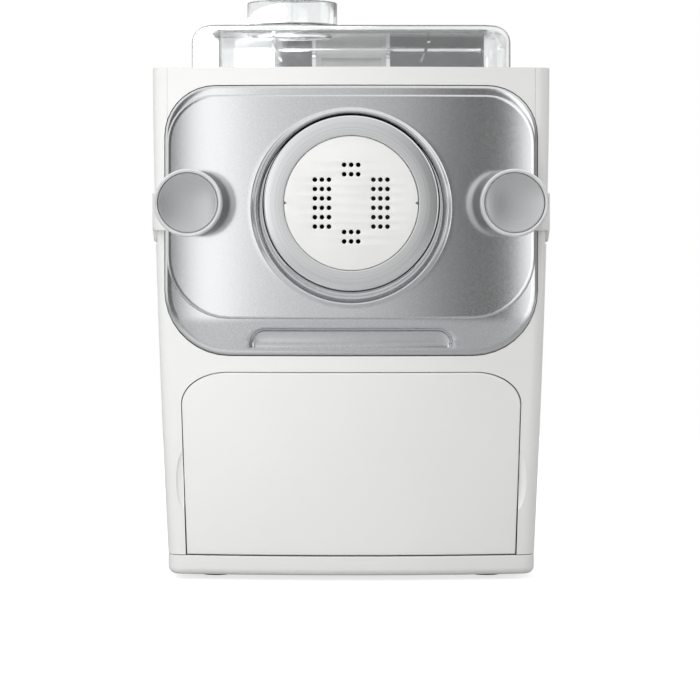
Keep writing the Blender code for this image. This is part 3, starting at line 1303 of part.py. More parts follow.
def make_controls():
    """The fascia on the deck, its display window, the buttons on their stems and the board."""
    low = BODY_TOP + SEAT_GAP
    outline = rounded_outline(CONTROL_WIDTH / 2, CONTROL_Y - CONTROL_LENGTH / 2,
                              CONTROL_Y + CONTROL_LENGTH / 2, CONTROL_CORNER, CONTROL_CORNER)
    fascia = prism("control_fascia", [outline], low, CONTROL_THICKNESS, "Z", white())
    window_y = CONTROL_Y + DISPLAY_OFFSET
    window_low = (-DISPLAY_WIDTH / 2, window_y - DISPLAY_LENGTH / 2)
    window_high = (DISPLAY_WIDTH / 2, window_y + DISPLAY_LENGTH / 2)
    floor = CONTROL_TOP - DISPLAY_RISE
    cut(fascia, box("display_pocket", (window_low[0] - SEAT_GAP, window_low[1] - SEAT_GAP, floor),
                    (window_high[0] + SEAT_GAP, window_high[1] + SEAT_GAP, CONTROL_TOP + OVERRUN), None))
    box("display_window", (*window_low, floor + SEAT_GAP), (*window_high, CONTROL_TOP + SEAT_GAP), dark())
    for name, (x, y) in button_places().items():
        radius = button_radius(name)
        cut(fascia, rod("well_" + name, (x, y, CONTROL_TOP), radius + SEAT_GAP, 2 * OVERRUN, "Z", None,
                        2 * SMALL_STEPS))
        cap_low = low + BUTTON_TRAVEL + SEAT_GAP
        stem = BUTTON_STEM / 2
        stem_low = BOARD_TOP + BUTTON_TRAVEL + SEAT_GAP
        top = CONTROL_TOP + BUTTON_RISE
        edge = BUTTON_RISE / 2
        profile = [(0, top), (radius - edge, top), (radius, top - edge), (radius, cap_low),
                   (stem, cap_low), (stem, stem_low), (0, stem_low)]
        profile = [(r, z - cap_low) for r, z in profile]
        turned(name, profile, (x, y, cap_low), "Z", grey_plastic(), SMALL_STEPS)
    half_x = CONTROL_WIDTH / 2 - BOARD_MARGIN / 2
    half_y = CONTROL_LENGTH / 2 - BOARD_MARGIN / 2
    box("circuit_board", (-half_x, CONTROL_Y - half_y, BOARD_TOP - BOARD_THICKNESS),
        (half_x, CONTROL_Y + half_y, BOARD_TOP), board_green())


def make_drawer():
    """A bowed drawer front with a tray behind it, and the two runners on the base."""
    foot = DRAWER_FLOOR
    bowed_plate("drawer_front", [drawer_outline(0, foot)], 0, DRAWER_FRONT_THICKNESS, white())
    half = TRAY_WIDTH / 2
    tray_front = bow_y(half + RUNNER_WIDTH) + DRAWER_FRONT_THICKNESS + SEAT_GAP
    tray_low = (-half, tray_front, foot)
    tray_high = (half, tray_front + TRAY_LENGTH, foot + TRAY_HEIGHT)
    tray = box("drawer_tray", tray_low, tray_high, white())
    cut(tray, box("tray_hollow", (tray_low[0] + TRAY_WALL, tray_low[1] + TRAY_WALL, foot + TRAY_WALL),
                  (tray_high[0] - TRAY_WALL, tray_high[1] - TRAY_WALL, tray_high[2] + OVERRUN), None))
    runner_low = FLOOR_TOP + SEAT_GAP
    for side, sign in (("left", -1), ("right", 1)):
        near = sign * (half - RUNNER_WIDTH)
        far = sign * (half + RUNNER_WIDTH)
        runner = box("drawer_runner_" + side, (min(near, far), tray_front, runner_low),
                     (max(near, far), tray_front + TRAY_LENGTH, foot + RUNNER_LIP), grey_plastic())
        lip = sign * (half + SEAT_GAP)
        cut(runner, box("runner_seat_" + side,
                        (min(near, lip) - (OVERRUN if sign > 0 else 0), tray_front - OVERRUN,
                         foot - SEAT_GAP),
                        (max(near, lip) + (0 if sign > 0 else OVERRUN),
                         tray_front + TRAY_LENGTH + OVERRUN, foot + RUNNER_LIP + OVERRUN), None))


def make_mains_inlet():
    """A recessed socket in the rear cover with two contacts."""
    low_x = INLET_SOCKET_OFFSET - INLET_SOCKET_WIDTH / 2
    high_z = INLET_SOCKET_RISE + INLET_SOCKET_HEIGHT
    rear = REAR_Y - SEAT_GAP
    front = rear - INLET_SOCKET_DEPTH
    socket = box("mains_inlet", (low_x, front, INLET_SOCKET_RISE),
                 (low_x + INLET_SOCKET_WIDTH, rear, high_z), dark())
    wall = INLET_SOCKET_WALL
    cut(socket, box("inlet_hollow", (low_x + wall, front + wall, INLET_SOCKET_RISE + wall),
                    (low_x + INLET_SOCKET_WIDTH - wall, rear + OVERRUN, high_z - wall), None))
    middle_z = (INLET_SOCKET_RISE + high_z) / 2
    contact_front = front + wall / 2
    for name, side in (("inlet_contact_left", -1), ("inlet_contact_right", 1)):
        x = INLET_SOCKET_OFFSET + side * CONTACT_PITCH / 2
        join(socket, box(name, (x - CONTACT_WIDTH / 2, contact_front, middle_z - CONTACT_HEIGHT / 2),
                         (x + CONTACT_WIDTH / 2, front + wall + CONTACT_LENGTH,
                          middle_z + CONTACT_HEIGHT / 2), None))
    return socket


def carry(name, place, pieces, parent=None):
    """An empty on a joint's axis that carries the pieces which move about it."""
    pivot = bpy.data.objects.new(name, None)
    bpy.data.collections[PART_COLLECTION].objects.link(pivot)
    base = Vector((0, 0, 0))
    if parent:
        pivot.parent = parent
        base = parent.matrix_world.translation
    pivot.location = Vector(place) - base
    bpy.context.view_layer.update()
    for piece in pieces:
        item = bpy.data.objects[piece]
        item.parent = pivot
        item.location = item.location - Vector(place)
    return pivot


def build():
    start_scene()
    make_housing()
    make_rear_cover()
    make_base()
    make_feet()
    make_deck()
    make_bulkhead()
    make_front_panel()
    make_ring()
    make_disc()
    make_tube()
    make_seals()
    make_chamber()
    make_screw()
    make_paddle()
    make_shaft()
    make_gears()
    make_gearbox()
    make_bushes()
    make_chassis()
    make_motor()
    make_fan()
    right_pieces = [make_arm(), *make_arm_block(), *make_knob()]
    for piece in right_pieces:
        opposite(piece)
    make_lid()
    make_inlet()
    make_hinge()
    make_controls()
    make_drawer()
    make_mains_inlet()
    set_joints()


def set_joints():
    """Parent every moving piece to an empty on its joint's axis."""
    carry("lid_hinge", (0, BRACKET_Y, HINGE_Z), ["lid", "water_inlet"])
    carry("ring_axis", (0, RING_FRONT_Y, AXIS_Z), ["locking_ring"])
    carry("shaft_axis", (0, CHAMBER_REAR_Y, AXIS_Z),
          ["drive_shaft", "extruder_screw", "mixing_paddle", "output_gear"])
    carry("idler_axis", (0, STAGE_ONE_Y, IDLER_Z), ["idler_gear"])
    carry("motor_axis", (0, STAGE_ONE_Y, MOTOR_Z), ["motor_rotor", "motor_pinion", "cooling_fan"])
    carry("drawer_slide", (0, FRONT_Y, DRAWER_FLOOR), ["drawer_front", "drawer_tray"])
    for side in ("left", "right"):
        sign = side_sign(side)
        swing = carry("arm_axis_" + side, (sign * ARM_PIVOT_X, ARM_PIVOT_Y, AXIS_Z),
                      ["lock_arm_" + side])
        carry("knob_axis_" + side, (sign * KNOB_X, KNOB_FRONT_Y, AXIS_Z),
              ["knob_" + side, "knob_cap_" + side], swing)


build()
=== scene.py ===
import math

import bmesh
import bpy
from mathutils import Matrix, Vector


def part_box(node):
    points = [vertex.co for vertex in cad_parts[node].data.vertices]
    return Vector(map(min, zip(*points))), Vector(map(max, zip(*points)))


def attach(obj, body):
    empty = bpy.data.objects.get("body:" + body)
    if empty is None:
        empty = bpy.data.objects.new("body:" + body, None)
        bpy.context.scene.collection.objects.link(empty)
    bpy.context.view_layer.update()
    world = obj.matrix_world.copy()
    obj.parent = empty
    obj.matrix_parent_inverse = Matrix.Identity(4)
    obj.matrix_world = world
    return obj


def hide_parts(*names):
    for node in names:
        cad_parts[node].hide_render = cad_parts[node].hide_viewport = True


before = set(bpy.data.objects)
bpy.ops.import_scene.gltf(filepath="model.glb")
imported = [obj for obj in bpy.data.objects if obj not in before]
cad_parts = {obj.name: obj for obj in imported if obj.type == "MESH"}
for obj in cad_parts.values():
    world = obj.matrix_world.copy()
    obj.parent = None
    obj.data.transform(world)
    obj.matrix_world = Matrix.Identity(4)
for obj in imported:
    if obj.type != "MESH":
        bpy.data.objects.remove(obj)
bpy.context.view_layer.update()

# ---------------------------------------------------------------------------------------------
# Camera, table and studio light. The camera stands level, a metre and a half from the machine's
# front, and the picture is raised by a vertical shift. The table and the room are plain white, and
# four soft lamps light the machine: one at the front left, one right, one behind, one above.
# ---------------------------------------------------------------------------------------------
PICTURE_PIXELS = 700
PIXEL_SIZE = 0.000555
CAMERA_DISTANCE = 1.5
EYE_HEIGHT = 0.1979
MIDDLE_COLUMN = 351.2
HORIZON_ROW = 225
SENSOR_WIDTH = 36.0
FRONT_Y = -0.172

TABLE_SIZE = 1.7
VIEW_DEPTH = 30.0
TABLE_WHITE = "#f6f6f6"
TABLE_GREY_SHARE = 0.55
TABLE_GLOW = 0.80
ROOM_LIGHT = 0.27

# Each lamp's place, its two sizes and its power.
LAMPS = {"key_lamp": ((-0.29, -0.72, 0.34), (0.5, 0.6), 2.6),
         "fill_lamp": ((1.1, -0.05, 0.5), (0.8, 0.8), 4),
         "back_lamp": ((-0.6, 1.5, 0.8), (1.2, 1.2), 14),
         "top_lamp": ((-0.2, -0.5, 1.7), (1.6, 1.6), 11)}
LAMP_AIM_HEIGHT = 0.15


def linear(hex_colour, alpha=1.0):
    """An sRGB hex colour as the linear values that Blender's sockets take."""
    shares = [int(hex_colour[start:start + 2], 16) / 255 for start in (1, 3, 5)]
    return tuple(s / 12.92 if s <= 0.04045 else ((s + 0.055) / 1.055) ** 2.4
                 for s in shares) + (alpha,)


def add_node(tree, kind, sockets=None, links=None, stops=None, **settings):
    """Adds one node, with its settings, its socket values, its ramp's stops and its links."""
    made = tree.nodes.new(kind)
    for key, value in settings.items():
        setattr(made, key, value)
    for key, value in (sockets or {}).items():
        made.inputs[key].default_value = value
    for key, (source, output) in (links or {}).items():
        tree.links.new(source.outputs[output], made.inputs[key])
    if stops:
        ramp = made.color_ramp
        while len(ramp.elements) < len(stops):
            ramp.elements.new(1.0)
        for element, (position, colour) in zip(ramp.elements, stops):
            element.position = position
            element.color = colour
    return made


def grey(level):
    return (level, level, level, 1.0)


camera_data = bpy.data.cameras.new("camera")
camera_data.sensor_width = SENSOR_WIDTH
camera_data.lens = SENSOR_WIDTH * CAMERA_DISTANCE / (PICTURE_PIXELS * PIXEL_SIZE)
camera_data.shift_y = (HORIZON_ROW - PICTURE_PIXELS / 2) / PICTURE_PIXELS
camera_data.clip_start = 0.05
camera_data.clip_end = VIEW_DEPTH
camera = bpy.data.objects.new("camera", camera_data)
camera.location = ((PICTURE_PIXELS / 2 - MIDDLE_COLUMN) * PIXEL_SIZE, FRONT_Y - CAMERA_DISTANCE,
                   EYE_HEIGHT)
camera.rotation_euler = (math.radians(90), 0, 0)
bpy.context.scene.collection.objects.link(camera)
bpy.context.scene.camera = camera
bpy.context.scene.view_settings.view_transform = "Standard"


def add_lamp(name, place, size, power):
    """A soft rectangular lamp that points at the middle of the machine."""
    data = bpy.data.lights.new(name, "AREA")
    data.shape = "RECTANGLE"
    data.size, data.size_y = size
    data.energy = power
    lamp = bpy.data.objects.new(name, data)
    lamp.location = place
    aim = Vector((0, 0, LAMP_AIM_HEIGHT)) - lamp.location
    lamp.rotation_euler = aim.to_track_quat("-Z", "Y").to_euler()
    lamp.visible_glossy = False
    lamp.visible_camera = False
    bpy.context.scene.collection.objects.link(lamp)


for name, lamp_values in LAMPS.items():
    add_lamp(name, *lamp_values)

# What gloss and metal mirror, by compass angle in front of the machine: a tall soft light at the
# left, a grey room to the right of it, and a second light further right. Each stop is an angle and
# a brightness; low down and high up the room is even.
STUDIO_STOPS = [(-180, 0.60), (-90, 1.00), (-48, 1.00), (-34, 0.22), (-22.3, 0.10),
                (-18.9, 1.62), (-16, 1.42), (-12, 0.98), (-6, 0.78), (0, 0.72), (6, 0.57),
                (11, 0.34), (15.5, 0.19), (19.9, 0.14), (22.2, 1.75), (34, 1.20), (50, 0.20),
                (80, 0.25), (180, 0.60)]
BELOW_LEVEL = 0.60
ABOVE_LEVEL = 1.05
world = bpy.data.worlds.new("white_room")
world.use_nodes = True
bpy.context.scene.world = world
tree = world.node_tree
tree.nodes.clear()
room_direction = add_node(tree, "ShaderNodeTexCoord")
split = add_node(tree, "ShaderNodeSeparateXYZ", links={0: (room_direction, "Generated")})
towards_front = add_node(tree, "ShaderNodeMath", {1: -1.0}, {0: (split, "Y")}, operation="MULTIPLY")
compass = add_node(tree, "ShaderNodeMath", links={0: (split, "X"), 1: (towards_front, 0)},
                   operation="ARCTAN2")
compass_share = add_node(tree, "ShaderNodeMapRange", {1: -math.pi, 2: math.pi}, {0: (compass, 0)})
studio = add_node(tree, "ShaderNodeValToRGB", links={0: (compass_share, 0)},
                  stops=[((angle + 180) / 360, grey(level)) for angle, level in STUDIO_STOPS])
below = add_node(tree, "ShaderNodeMapRange", {1: -0.06, 2: -0.14, 3: 0.0, 4: 0.88},
                 {0: (split, "Z")})
studio_and_floor = add_node(tree, "ShaderNodeMix", {7: grey(BELOW_LEVEL)},
                            {0: (below, 0), 6: (studio, 0)}, data_type="RGBA")
above = add_node(tree, "ShaderNodeMapRange", {1: 0.13, 2: 0.50}, {0: (split, "Z")})
studio_and_ceiling = add_node(tree, "ShaderNodeMix", {7: grey(ABOVE_LEVEL)},
                              {0: (above, 0), 6: (studio_and_floor, 2)}, data_type="RGBA")
ray = add_node(tree, "ShaderNodeLightPath")
soft_or_gloss = add_node(tree, "ShaderNodeMix", {6: grey(ROOM_LIGHT)},
                         {0: (ray, "Is Glossy Ray"), 7: (studio_and_ceiling, 2)}, data_type="RGBA")
seen = add_node(tree, "ShaderNodeMath", links={0: (ray, "Is Camera Ray"),
                                               1: (ray, "Is Transmission Ray")}, operation="MAXIMUM")
room_colour = add_node(tree, "ShaderNodeMix", {7: grey(1.0)},
                       {0: (seen, 0), 6: (soft_or_gloss, 2)}, data_type="RGBA")
room_light = add_node(tree, "ShaderNodeBackground", links={0: (room_colour, 2)})
add_node(tree, "ShaderNodeOutputWorld", links={0: (room_light, 0)})

# Matt white table paper: it glows a little to the eye, so that it runs into the white room, and
# still takes the machine's soft shadow. Its fibre shows as a very faint mottle.
table_paper = bpy.data.materials.new("matt_table_paper")
table_paper.use_nodes = True
tree = table_paper.node_tree
tree.nodes.clear()
place_on_table = add_node(tree, "ShaderNodeTexCoord")
fibre = add_node(tree, "ShaderNodeTexNoise", {"Scale": 60.0, "Detail": 3.0},
                 {"Vector": (place_on_table, "Object")})
paper_white = add_node(tree, "ShaderNodeValToRGB", links={0: (fibre, 0)},
                       stops=[(0.3, grey(TABLE_GREY_SHARE - 0.01)), (0.7, grey(TABLE_GREY_SHARE))])
paper = add_node(tree, "ShaderNodeBsdfDiffuse", links={0: (paper_white, 0)})
ray = add_node(tree, "ShaderNodeLightPath")
seen = add_node(tree, "ShaderNodeMath", links={0: (ray, "Is Camera Ray"),
                                               1: (ray, "Is Transmission Ray")}, operation="MAXIMUM")
glow_level = add_node(tree, "ShaderNodeMath", {1: TABLE_GLOW}, {0: (seen, 0)},
                      operation="MULTIPLY")
glow = add_node(tree, "ShaderNodeEmission", {0: linear(TABLE_WHITE)}, {1: (glow_level, 0)})
paper_and_glow = add_node(tree, "ShaderNodeAddShader", links={0: (paper, 0), 1: (glow, 0)})
add_node(tree, "ShaderNodeOutputMaterial", links={0: (paper_and_glow, 0)})

table_mesh = bpy.data.meshes.new("table")
table_mesh.from_pydata([(x * TABLE_SIZE / 2, y * TABLE_SIZE / 2, 0)
                        for x, y in ((-1, -1), (1, -1), (1, 1), (-1, 1))], [], [(0, 1, 2, 3)])
table = bpy.data.objects.new("table", table_mesh)
table.data.materials.append(table_paper)
bpy.context.scene.collection.objects.link(table)

# ---------------------------------------------------------------------------------------------
# Body shell. The real one is glossy white ABS, injection moulded in a polished tool: a tapered
# tub with a bowed front, cut away for the silver panel, the drawer and the two lock arms.
# ---------------------------------------------------------------------------------------------
SEAT_GAP = 0.0003
SEAM_GAP = 0.0004
REAR_Y = 0.1995
REAR_SEAM_Y = 0.1545
HALF_BODY = 0.1113
BODY_TOP = 0.2858
BODY_TAPER = 0.0089
TAPER_POWER = 1.6
BODY_WALL = 0.003
FRONT_CORNER = 0.0085
REAR_CORNER = 0.028
FRONT_BOW = 0.010
BASE_SEAM = 0.0142
SHELL_EDGE = 0.0004
BODY_LEVELS = 14
BOW_COLUMNS = 18
CORNER_STEPS = 9

HALF_PANEL = 0.1039
PANEL_LOW = 0.1254
PANEL_HIGH = 0.2754
PANEL_TOP_RADIUS = 0.028
PANEL_LOW_RADIUS = 0.036
APRON_HALF = HALF_BODY - FRONT_CORNER
APRON_LOW = PANEL_HIGH - PANEL_TOP_RADIUS

DRAWER_HALF = 0.0945
DRAWER_FOOT_HALF = 0.0915
DRAWER_HIGH = 0.1158
DRAWER_CORNER = (0.026, 0.018)

SCOOP_X = 0.093
SCOOP_LOW = 0.0395
SCOOP_HIGH = 0.0722
SCOOP_REACH = (0.0050, 0.0022)

ARM_LOW = 0.188
ARM_HIGH = 0.216
ARM_REST_X = 0.10906
ARM_OUTER_X = 0.11146
ARM_PIVOT = (0.10226, -0.080)
ARM_BARREL = 0.004
ARM_CLEARANCE = 0.0005


def per_metre(millimetres):
    """The scale of a pattern whose grains are this many millimetres apart."""
    return 1000 / millimetres


def new_material(name, colour, roughness, metallic=0.0, **sockets):
    """A material whose one shader has constant values; the patterns are linked to it later."""
    made = bpy.data.materials.new(name)
    made.use_nodes = True
    shader = made.node_tree.nodes["Principled BSDF"]
    shader.inputs["Base Color"].default_value = linear(colour)
    shader.inputs["Roughness"].default_value = roughness
    shader.inputs["Metallic"].default_value = metallic
    for key, value in sockets.items():
        shader.inputs[key.replace("_", " ")].default_value = value
    return made, made.node_tree, shader


def tint_and_gloss(tree, shader, pattern, output, stops, low_roughness, high_roughness):
    """Lets a pattern drive the colour, through a ramp of hex colours, and the roughness."""
    tint = add_node(tree, "ShaderNodeValToRGB", links={0: (pattern, output)},
                    stops=[(position, linear(colour)) for position, colour in stops])
    tree.links.new(tint.outputs[0], shader.inputs["Base Color"])
    sheen = add_node(tree, "ShaderNodeMapRange", {3: low_roughness, 4: high_roughness},
                     {0: (pattern, output)})
    tree.links.new(sheen.outputs[0], shader.inputs["Roughness"])


def mottle(tree, shader, size_mm, dark, light, low_roughness, high_roughness):
    """Slow colour and gloss drift, as a moulded or painted surface has, from one soft noise."""
    place = add_node(tree, "ShaderNodeTexCoord")
    drift = add_node(tree, "ShaderNodeTexNoise", {"Scale": per_metre(size_mm), "Detail": 3.0},
                     {"Vector": (place, "Object")})
    tint_and_gloss(tree, shader, drift, 0, [(0.35, dark), (0.65, light)], low_roughness,
                   high_roughness)
    return place


def fine_relief(tree, shader, place, size_mm, height_mm, strength, kind="ShaderNodeTexNoise"):
    """A fine bumpy skin of a real grain size and height."""
    grain = add_node(tree, kind, {"Scale": per_metre(size_mm)}, {"Vector": (place, "Object")})
    relief = add_node(tree, "ShaderNodeBump", {"Strength": strength,
                                               "Distance": height_mm / 1000},
                      {"Height": (grain, 0)})
    tree.links.new(relief.outputs[0], shader.inputs["Normal"])
    return relief


# Glossy moulded ABS: near-white with a touch of warmth, a slow drift in its gloss, and the faint
# ripple that a polished tool leaves. The ripple is really 0.5 mm; it is drawn at 2.5 mm to show.
white_abs, tree, shader = new_material("white_abs_moulded", "#f3f3f1", 0.24, IOR=1.53)
place = mottle(tree, shader, 90, "#f2f2f0", "#f4f4f2", 0.21, 0.26)
fine_relief(tree, shader, place, 2.5, 0.01, 0.2)


def half_width(height):
    """Half of the body's width at a height: the sides draw in along a soft curve to the base."""
    share = max(BODY_TOP - height, 0) / (BODY_TOP - BASE_SEAM)
    return HALF_BODY - BODY_TAPER * share ** TAPER_POWER


def bow_y(across):
    """The front's bowed surface: its Y at a distance across from the middle."""
    return FRONT_Y + FRONT_BOW * (across / HALF_BODY) ** 2


def arc(centre_x, centre_y, radius_x, radius_y, start_deg, end_deg, steps=CORNER_STEPS):
    """Points along an arc or part of an ellipse, both ends included."""
    angles = [math.radians(start_deg + (end_deg - start_deg) * n / steps) for n in range(steps + 1)]
    return [(centre_x + radius_x * math.cos(a), centre_y + radius_y * math.sin(a)) for a in angles]


def front_corner(height):
    """Centre and lean of the body's front corner at a height."""
    centre_x = half_width(height) - FRONT_CORNER
    lean = math.atan(2 * FRONT_BOW * centre_x / HALF_BODY ** 2)
    centre_y = bow_y(centre_x + FRONT_CORNER * math.sin(lean)) + FRONT_CORNER * math.cos(lean)
    return centre_x, centre_y, lean


def front_half(height, inset, end_y):
    """Plan points of the right half, from the middle of the front to the side at end_y."""
    centre_x, centre_y, lean = front_corner(height)
    radius = FRONT_CORNER - inset
    last_x = centre_x + radius * math.sin(lean)
    across = [last_x * column / BOW_COLUMNS for column in range(BOW_COLUMNS)]
    points = [(x, bow_y(x) + inset) for x in across]
    points += arc(centre_x, centre_y, radius, radius, math.degrees(lean) - 90, 0)
    points += [(half_width(height) - inset, points[-1][1] + (end_y - points[-1][1]) * share)
               for share in (0.3, 0.65, 1.0)]
    return points


def rear_half(height, inset, start_y):
    """Plan points of the right half, from the side at start_y to the middle of the rear."""
    edge = half_width(height) - inset
    radius = REAR_CORNER - inset
    points = [(edge, start_y)]
    points += arc(edge - radius, REAR_Y - REAR_CORNER, radius, radius, 0, 90)
    points += [((edge - radius) * share, REAR_Y - inset) for share in (0.66, 0.33, 0.0)]
    return points


def mirrored(half):
    """A path from its mirrored far end through the middle to its own far end."""
    return [(-x, y) for x, y in reversed(half[1:])] + half


def levels(low, high, count=BODY_LEVELS):
    return [low + (high - low) * index / count for index in range(count + 1)]


def loft(name, rings, closed=True, floor=False, roof=False):
    """Quads between rings of 3-D points; every ring has the same number of points."""
    work = bmesh.new()
    rows = [[work.verts.new(point) for point in ring] for ring in rings]
    for lower, upper in zip(rows, rows[1:]):
        count = len(lower)
        for index in range(count if closed else count - 1):
            other = (index + 1) % count
            work.faces.new((lower[index], lower[other], upper[other], upper[index]))
    if floor:
        work.faces.new(list(reversed(rows[0])))
    if roof:
        work.faces.new(rows[-1])
    bmesh.ops.recalc_face_normals(work, faces=work.faces)
    made = bpy.data.meshes.new(name)
    work.to_mesh(made)
    work.free()
    return made


def add_piece(name, data, material, body=None, slot=None, replaced=()):
    """A named piece of one material that rides a body and stands for the CAD nodes it replaces."""
    piece = bpy.data.objects.new(name, data)
    bpy.context.scene.collection.objects.link(piece)
    piece.data.materials.clear()
    piece.data.materials.append(material)
    if body:
        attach(piece, body)
        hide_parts(*replaced)
    return piece


def settle(piece, *tools):
    """Makes the piece's modifiers part of its mesh and throws the tools away."""
    bpy.context.view_layer.update()
    graph = bpy.context.evaluated_depsgraph_get()
    made = bpy.data.meshes.new_from_object(piece.evaluated_get(graph), depsgraph=graph)
    piece.modifiers.clear()
    piece.data = made
    for tool in tools:
        bpy.data.objects.remove(tool, do_unlink=True)
    return piece


def carve(piece, tools, operation="DIFFERENCE"):
    """Cuts tools out of the piece, or joins them to it, one after another."""
    for tool in tools:
        step = piece.modifiers.new("carve", "BOOLEAN")
        step.operation = operation
        step.object = tool
        step.solver = "EXACT"
    return settle(piece, *tools)


def soften(piece, width, steps=2, limit_deg=32):
    """Rounds every edge sharper than the limit and keeps the faces beside it flat to the eye."""
    piece.data.shade_smooth()
    edge = piece.modifiers.new("edge", "BEVEL")
    edge.width = width
    edge.segments = steps
    edge.limit_method = "ANGLE"
    edge.angle_limit = math.radians(limit_deg)
    edge.use_clamp_overlap = True
    edge.harden_normals = True
    return piece


def thicken(piece, wall):
    """A wall inside the surface."""
    shell = piece.modifiers.new("wall", "SOLIDIFY")
    shell.thickness = wall
    shell.offset = -1
    shell.use_even_offset = True
    return settle(piece)


def rounded_outline(half_x, low, high, low_radius, high_radius, low_half_x=None):
    """A symmetric outline with rounded corners; it may be narrower at its foot."""
    foot = half_x if low_half_x is None else low_half_x
    right = [(0, low)]
    if low_radius > 0:
        right += arc(foot - low_radius, low + low_radius, low_radius, low_radius, -90, 0)
    else:
        right.append((foot, low))
    right += arc(half_x - high_radius, high - high_radius, high_radius, high_radius, 0, 90)
    right.append((0, high))
    return right + [(-x, y) for x, y in reversed(right[1:-1])]


def panel_outline(grow):
    return rounded_outline(HALF_PANEL + grow, PANEL_LOW - grow, PANEL_HIGH + grow,
                           PANEL_LOW_RADIUS + grow, PANEL_TOP_RADIUS + grow)


def drawer_outline(grow, foot):
    """The drawer front: its sides lean in to the base and its top corners are wide curves."""
    width, height = DRAWER_CORNER
    right = [(0, foot), (DRAWER_FOOT_HALF + grow, foot)]
    right += arc(DRAWER_HALF + grow - width, DRAWER_HIGH + grow - height, width, height, 0, 90,
                 2 * CORNER_STEPS)
    right.append((0, DRAWER_HIGH + grow))
    return right + [(-x, y) for x, y in reversed(right[1:-1])]


def lofted_tool(rings):
    """A closed solid between rings that cuts or joins, and is thrown away after that."""
    return add_piece("cutter", loft("cutter", rings, floor=True, roof=True), white_abs)


def block(low, high):
    """A plain cutter between two corners."""
    return lofted_tool([[(x, y, z) for x, y in ((low[0], low[1]), (high[0], low[1]),
                                                (high[0], high[1]), (low[0], high[1]))]
                        for z in (low[2], high[2])])


def front_tool(outline, near_y, far_y):
    """A cutter along Y with an outline drawn in the front view."""
    return lofted_tool([[(x, y, z) for x, z in outline] for y in (near_y, far_y)])


def ball(centre, reach):
    """A cutter in the shape of a stretched ball."""
    work = bmesh.new()
    bmesh.ops.create_uvsphere(work, u_segments=32, v_segments=20, radius=1)
    bmesh.ops.scale(work, vec=Vector(reach), verts=work.verts)
    bmesh.ops.translate(work, vec=Vector(centre), verts=work.verts)
    data = bpy.data.meshes.new("cutter")
    work.to_mesh(data)
    work.free()
    return add_piece("cutter", data, white_abs)


rings = [[(x, y, height) for x, y in mirrored(front_half(height, 0, REAR_SEAM_Y))]
         for height in levels(BASE_SEAM, BODY_TOP)]
body = add_piece("body_shell", loft("body_shell", rings, closed=False), white_abs, "machine",
                 "body_white", ["body_housing"])
thicken(body, BODY_WALL)
behind_front = FRONT_Y + FRONT_BOW + BODY_WALL + 0.01
ahead_of_front = FRONT_Y - 0.01
shell_tools = [front_tool(panel_outline(SEAM_GAP), ahead_of_front, behind_front),
               front_tool(drawer_outline(SEAM_GAP, BASE_SEAM - 0.01), ahead_of_front, behind_front),
               block((-APRON_HALF, ahead_of_front, APRON_LOW),
                     (APRON_HALF, behind_front, BODY_TOP + 0.01))]
for side in (-1, 1):
    shell_tools.append(ball((side * SCOOP_X, bow_y(SCOOP_X), (SCOOP_LOW + SCOOP_HIGH) / 2),
                            (*SCOOP_REACH, (SCOOP_HIGH - SCOOP_LOW) / 2)))
    groove = sorted((side * (ARM_REST_X - ARM_CLEARANCE), side * (HALF_BODY + 0.01)))
    shell_tools.append(block((groove[0], ahead_of_front, ARM_LOW - ARM_CLEARANCE),
                             (groove[1], ARM_PIVOT[1], ARM_HIGH + ARM_CLEARANCE)))
    sweep = ARM_OUTER_X - ARM_PIVOT[0] + 2 * ARM_CLEARANCE
    window = sorted((side * ARM_PIVOT[0], side * (HALF_BODY + 0.01)))
    shell_tools.append(block((window[0], ARM_PIVOT[1] - ARM_BARREL - ARM_CLEARANCE,
                              ARM_LOW - ARM_CLEARANCE),
                             (window[1], ARM_PIVOT[1] + sweep, ARM_HIGH + ARM_CLEARANCE)))
carve(body, shell_tools)
soften(body, SHELL_EDGE)

# ---------------------------------------------------------------------------------------------
# Top deck. White ABS again: a flat deck let into the shell's rim, with an apron over the front
# above the silver panel. It is cut out for the dough chamber and screwed down from inside.
# ---------------------------------------------------------------------------------------------
DECK_THICKNESS = 0.003
DECK_EDGE = 0.0005
APRON_GAP = 0.0001
CHAMBER_HALF = 0.083
CHAMBER_FRONT_Y = -0.115
CHAMBER_REAR_Y = 0.057
CHAMBER_RIM = 0.004


def flat_plate(name, outline, low, high, material, *placing):
    """A level plate with an outline in plan."""
    rings = [[(x, y, z) for x, y in outline] for z in (low, high)]
    return add_piece(name, loft(name, rings, floor=True, roof=True), material, *placing)


def body_ring(height, inset):
    """The whole closed plan of the body at a height."""
    half = front_half(height, inset, REAR_SEAM_Y) + rear_half(height, inset, REAR_SEAM_Y)[1:]
    return [(-x, y) for x, y in reversed(half[1:-1])] + half


deck = flat_plate("top_deck_plate", body_ring(BODY_TOP, BODY_WALL + SEAT_GAP),
                  BODY_TOP - DECK_THICKNESS, BODY_TOP, white_abs, "machine", "body_white",
                  ["top_deck"])
apron_half = APRON_HALF - APRON_GAP
apron_low = APRON_LOW + SEAM_GAP
across = [apron_half * (2 * column / 36 - 1) for column in range(37)]
apron_plan = [(x, bow_y(x)) for x in across]
apron_plan += [(x, y + BODY_WALL + 2 * SEAT_GAP) for x, y in reversed(apron_plan)]
apron = flat_plate("apron", apron_plan, apron_low, BODY_TOP, white_abs)
carve(apron, [front_tool(panel_outline(SEAM_GAP), ahead_of_front, behind_front)])
carve(deck, [apron], "UNION")
hole = (CHAMBER_HALF + CHAMBER_RIM + SEAT_GAP, CHAMBER_FRONT_Y - CHAMBER_RIM - SEAT_GAP,
        CHAMBER_REAR_Y + CHAMBER_RIM + SEAT_GAP)
carve(deck, [block((-hole[0], hole[1], BODY_TOP - 0.01), (hole[0], hole[2], BODY_TOP + 0.01))])
soften(deck, DECK_EDGE)

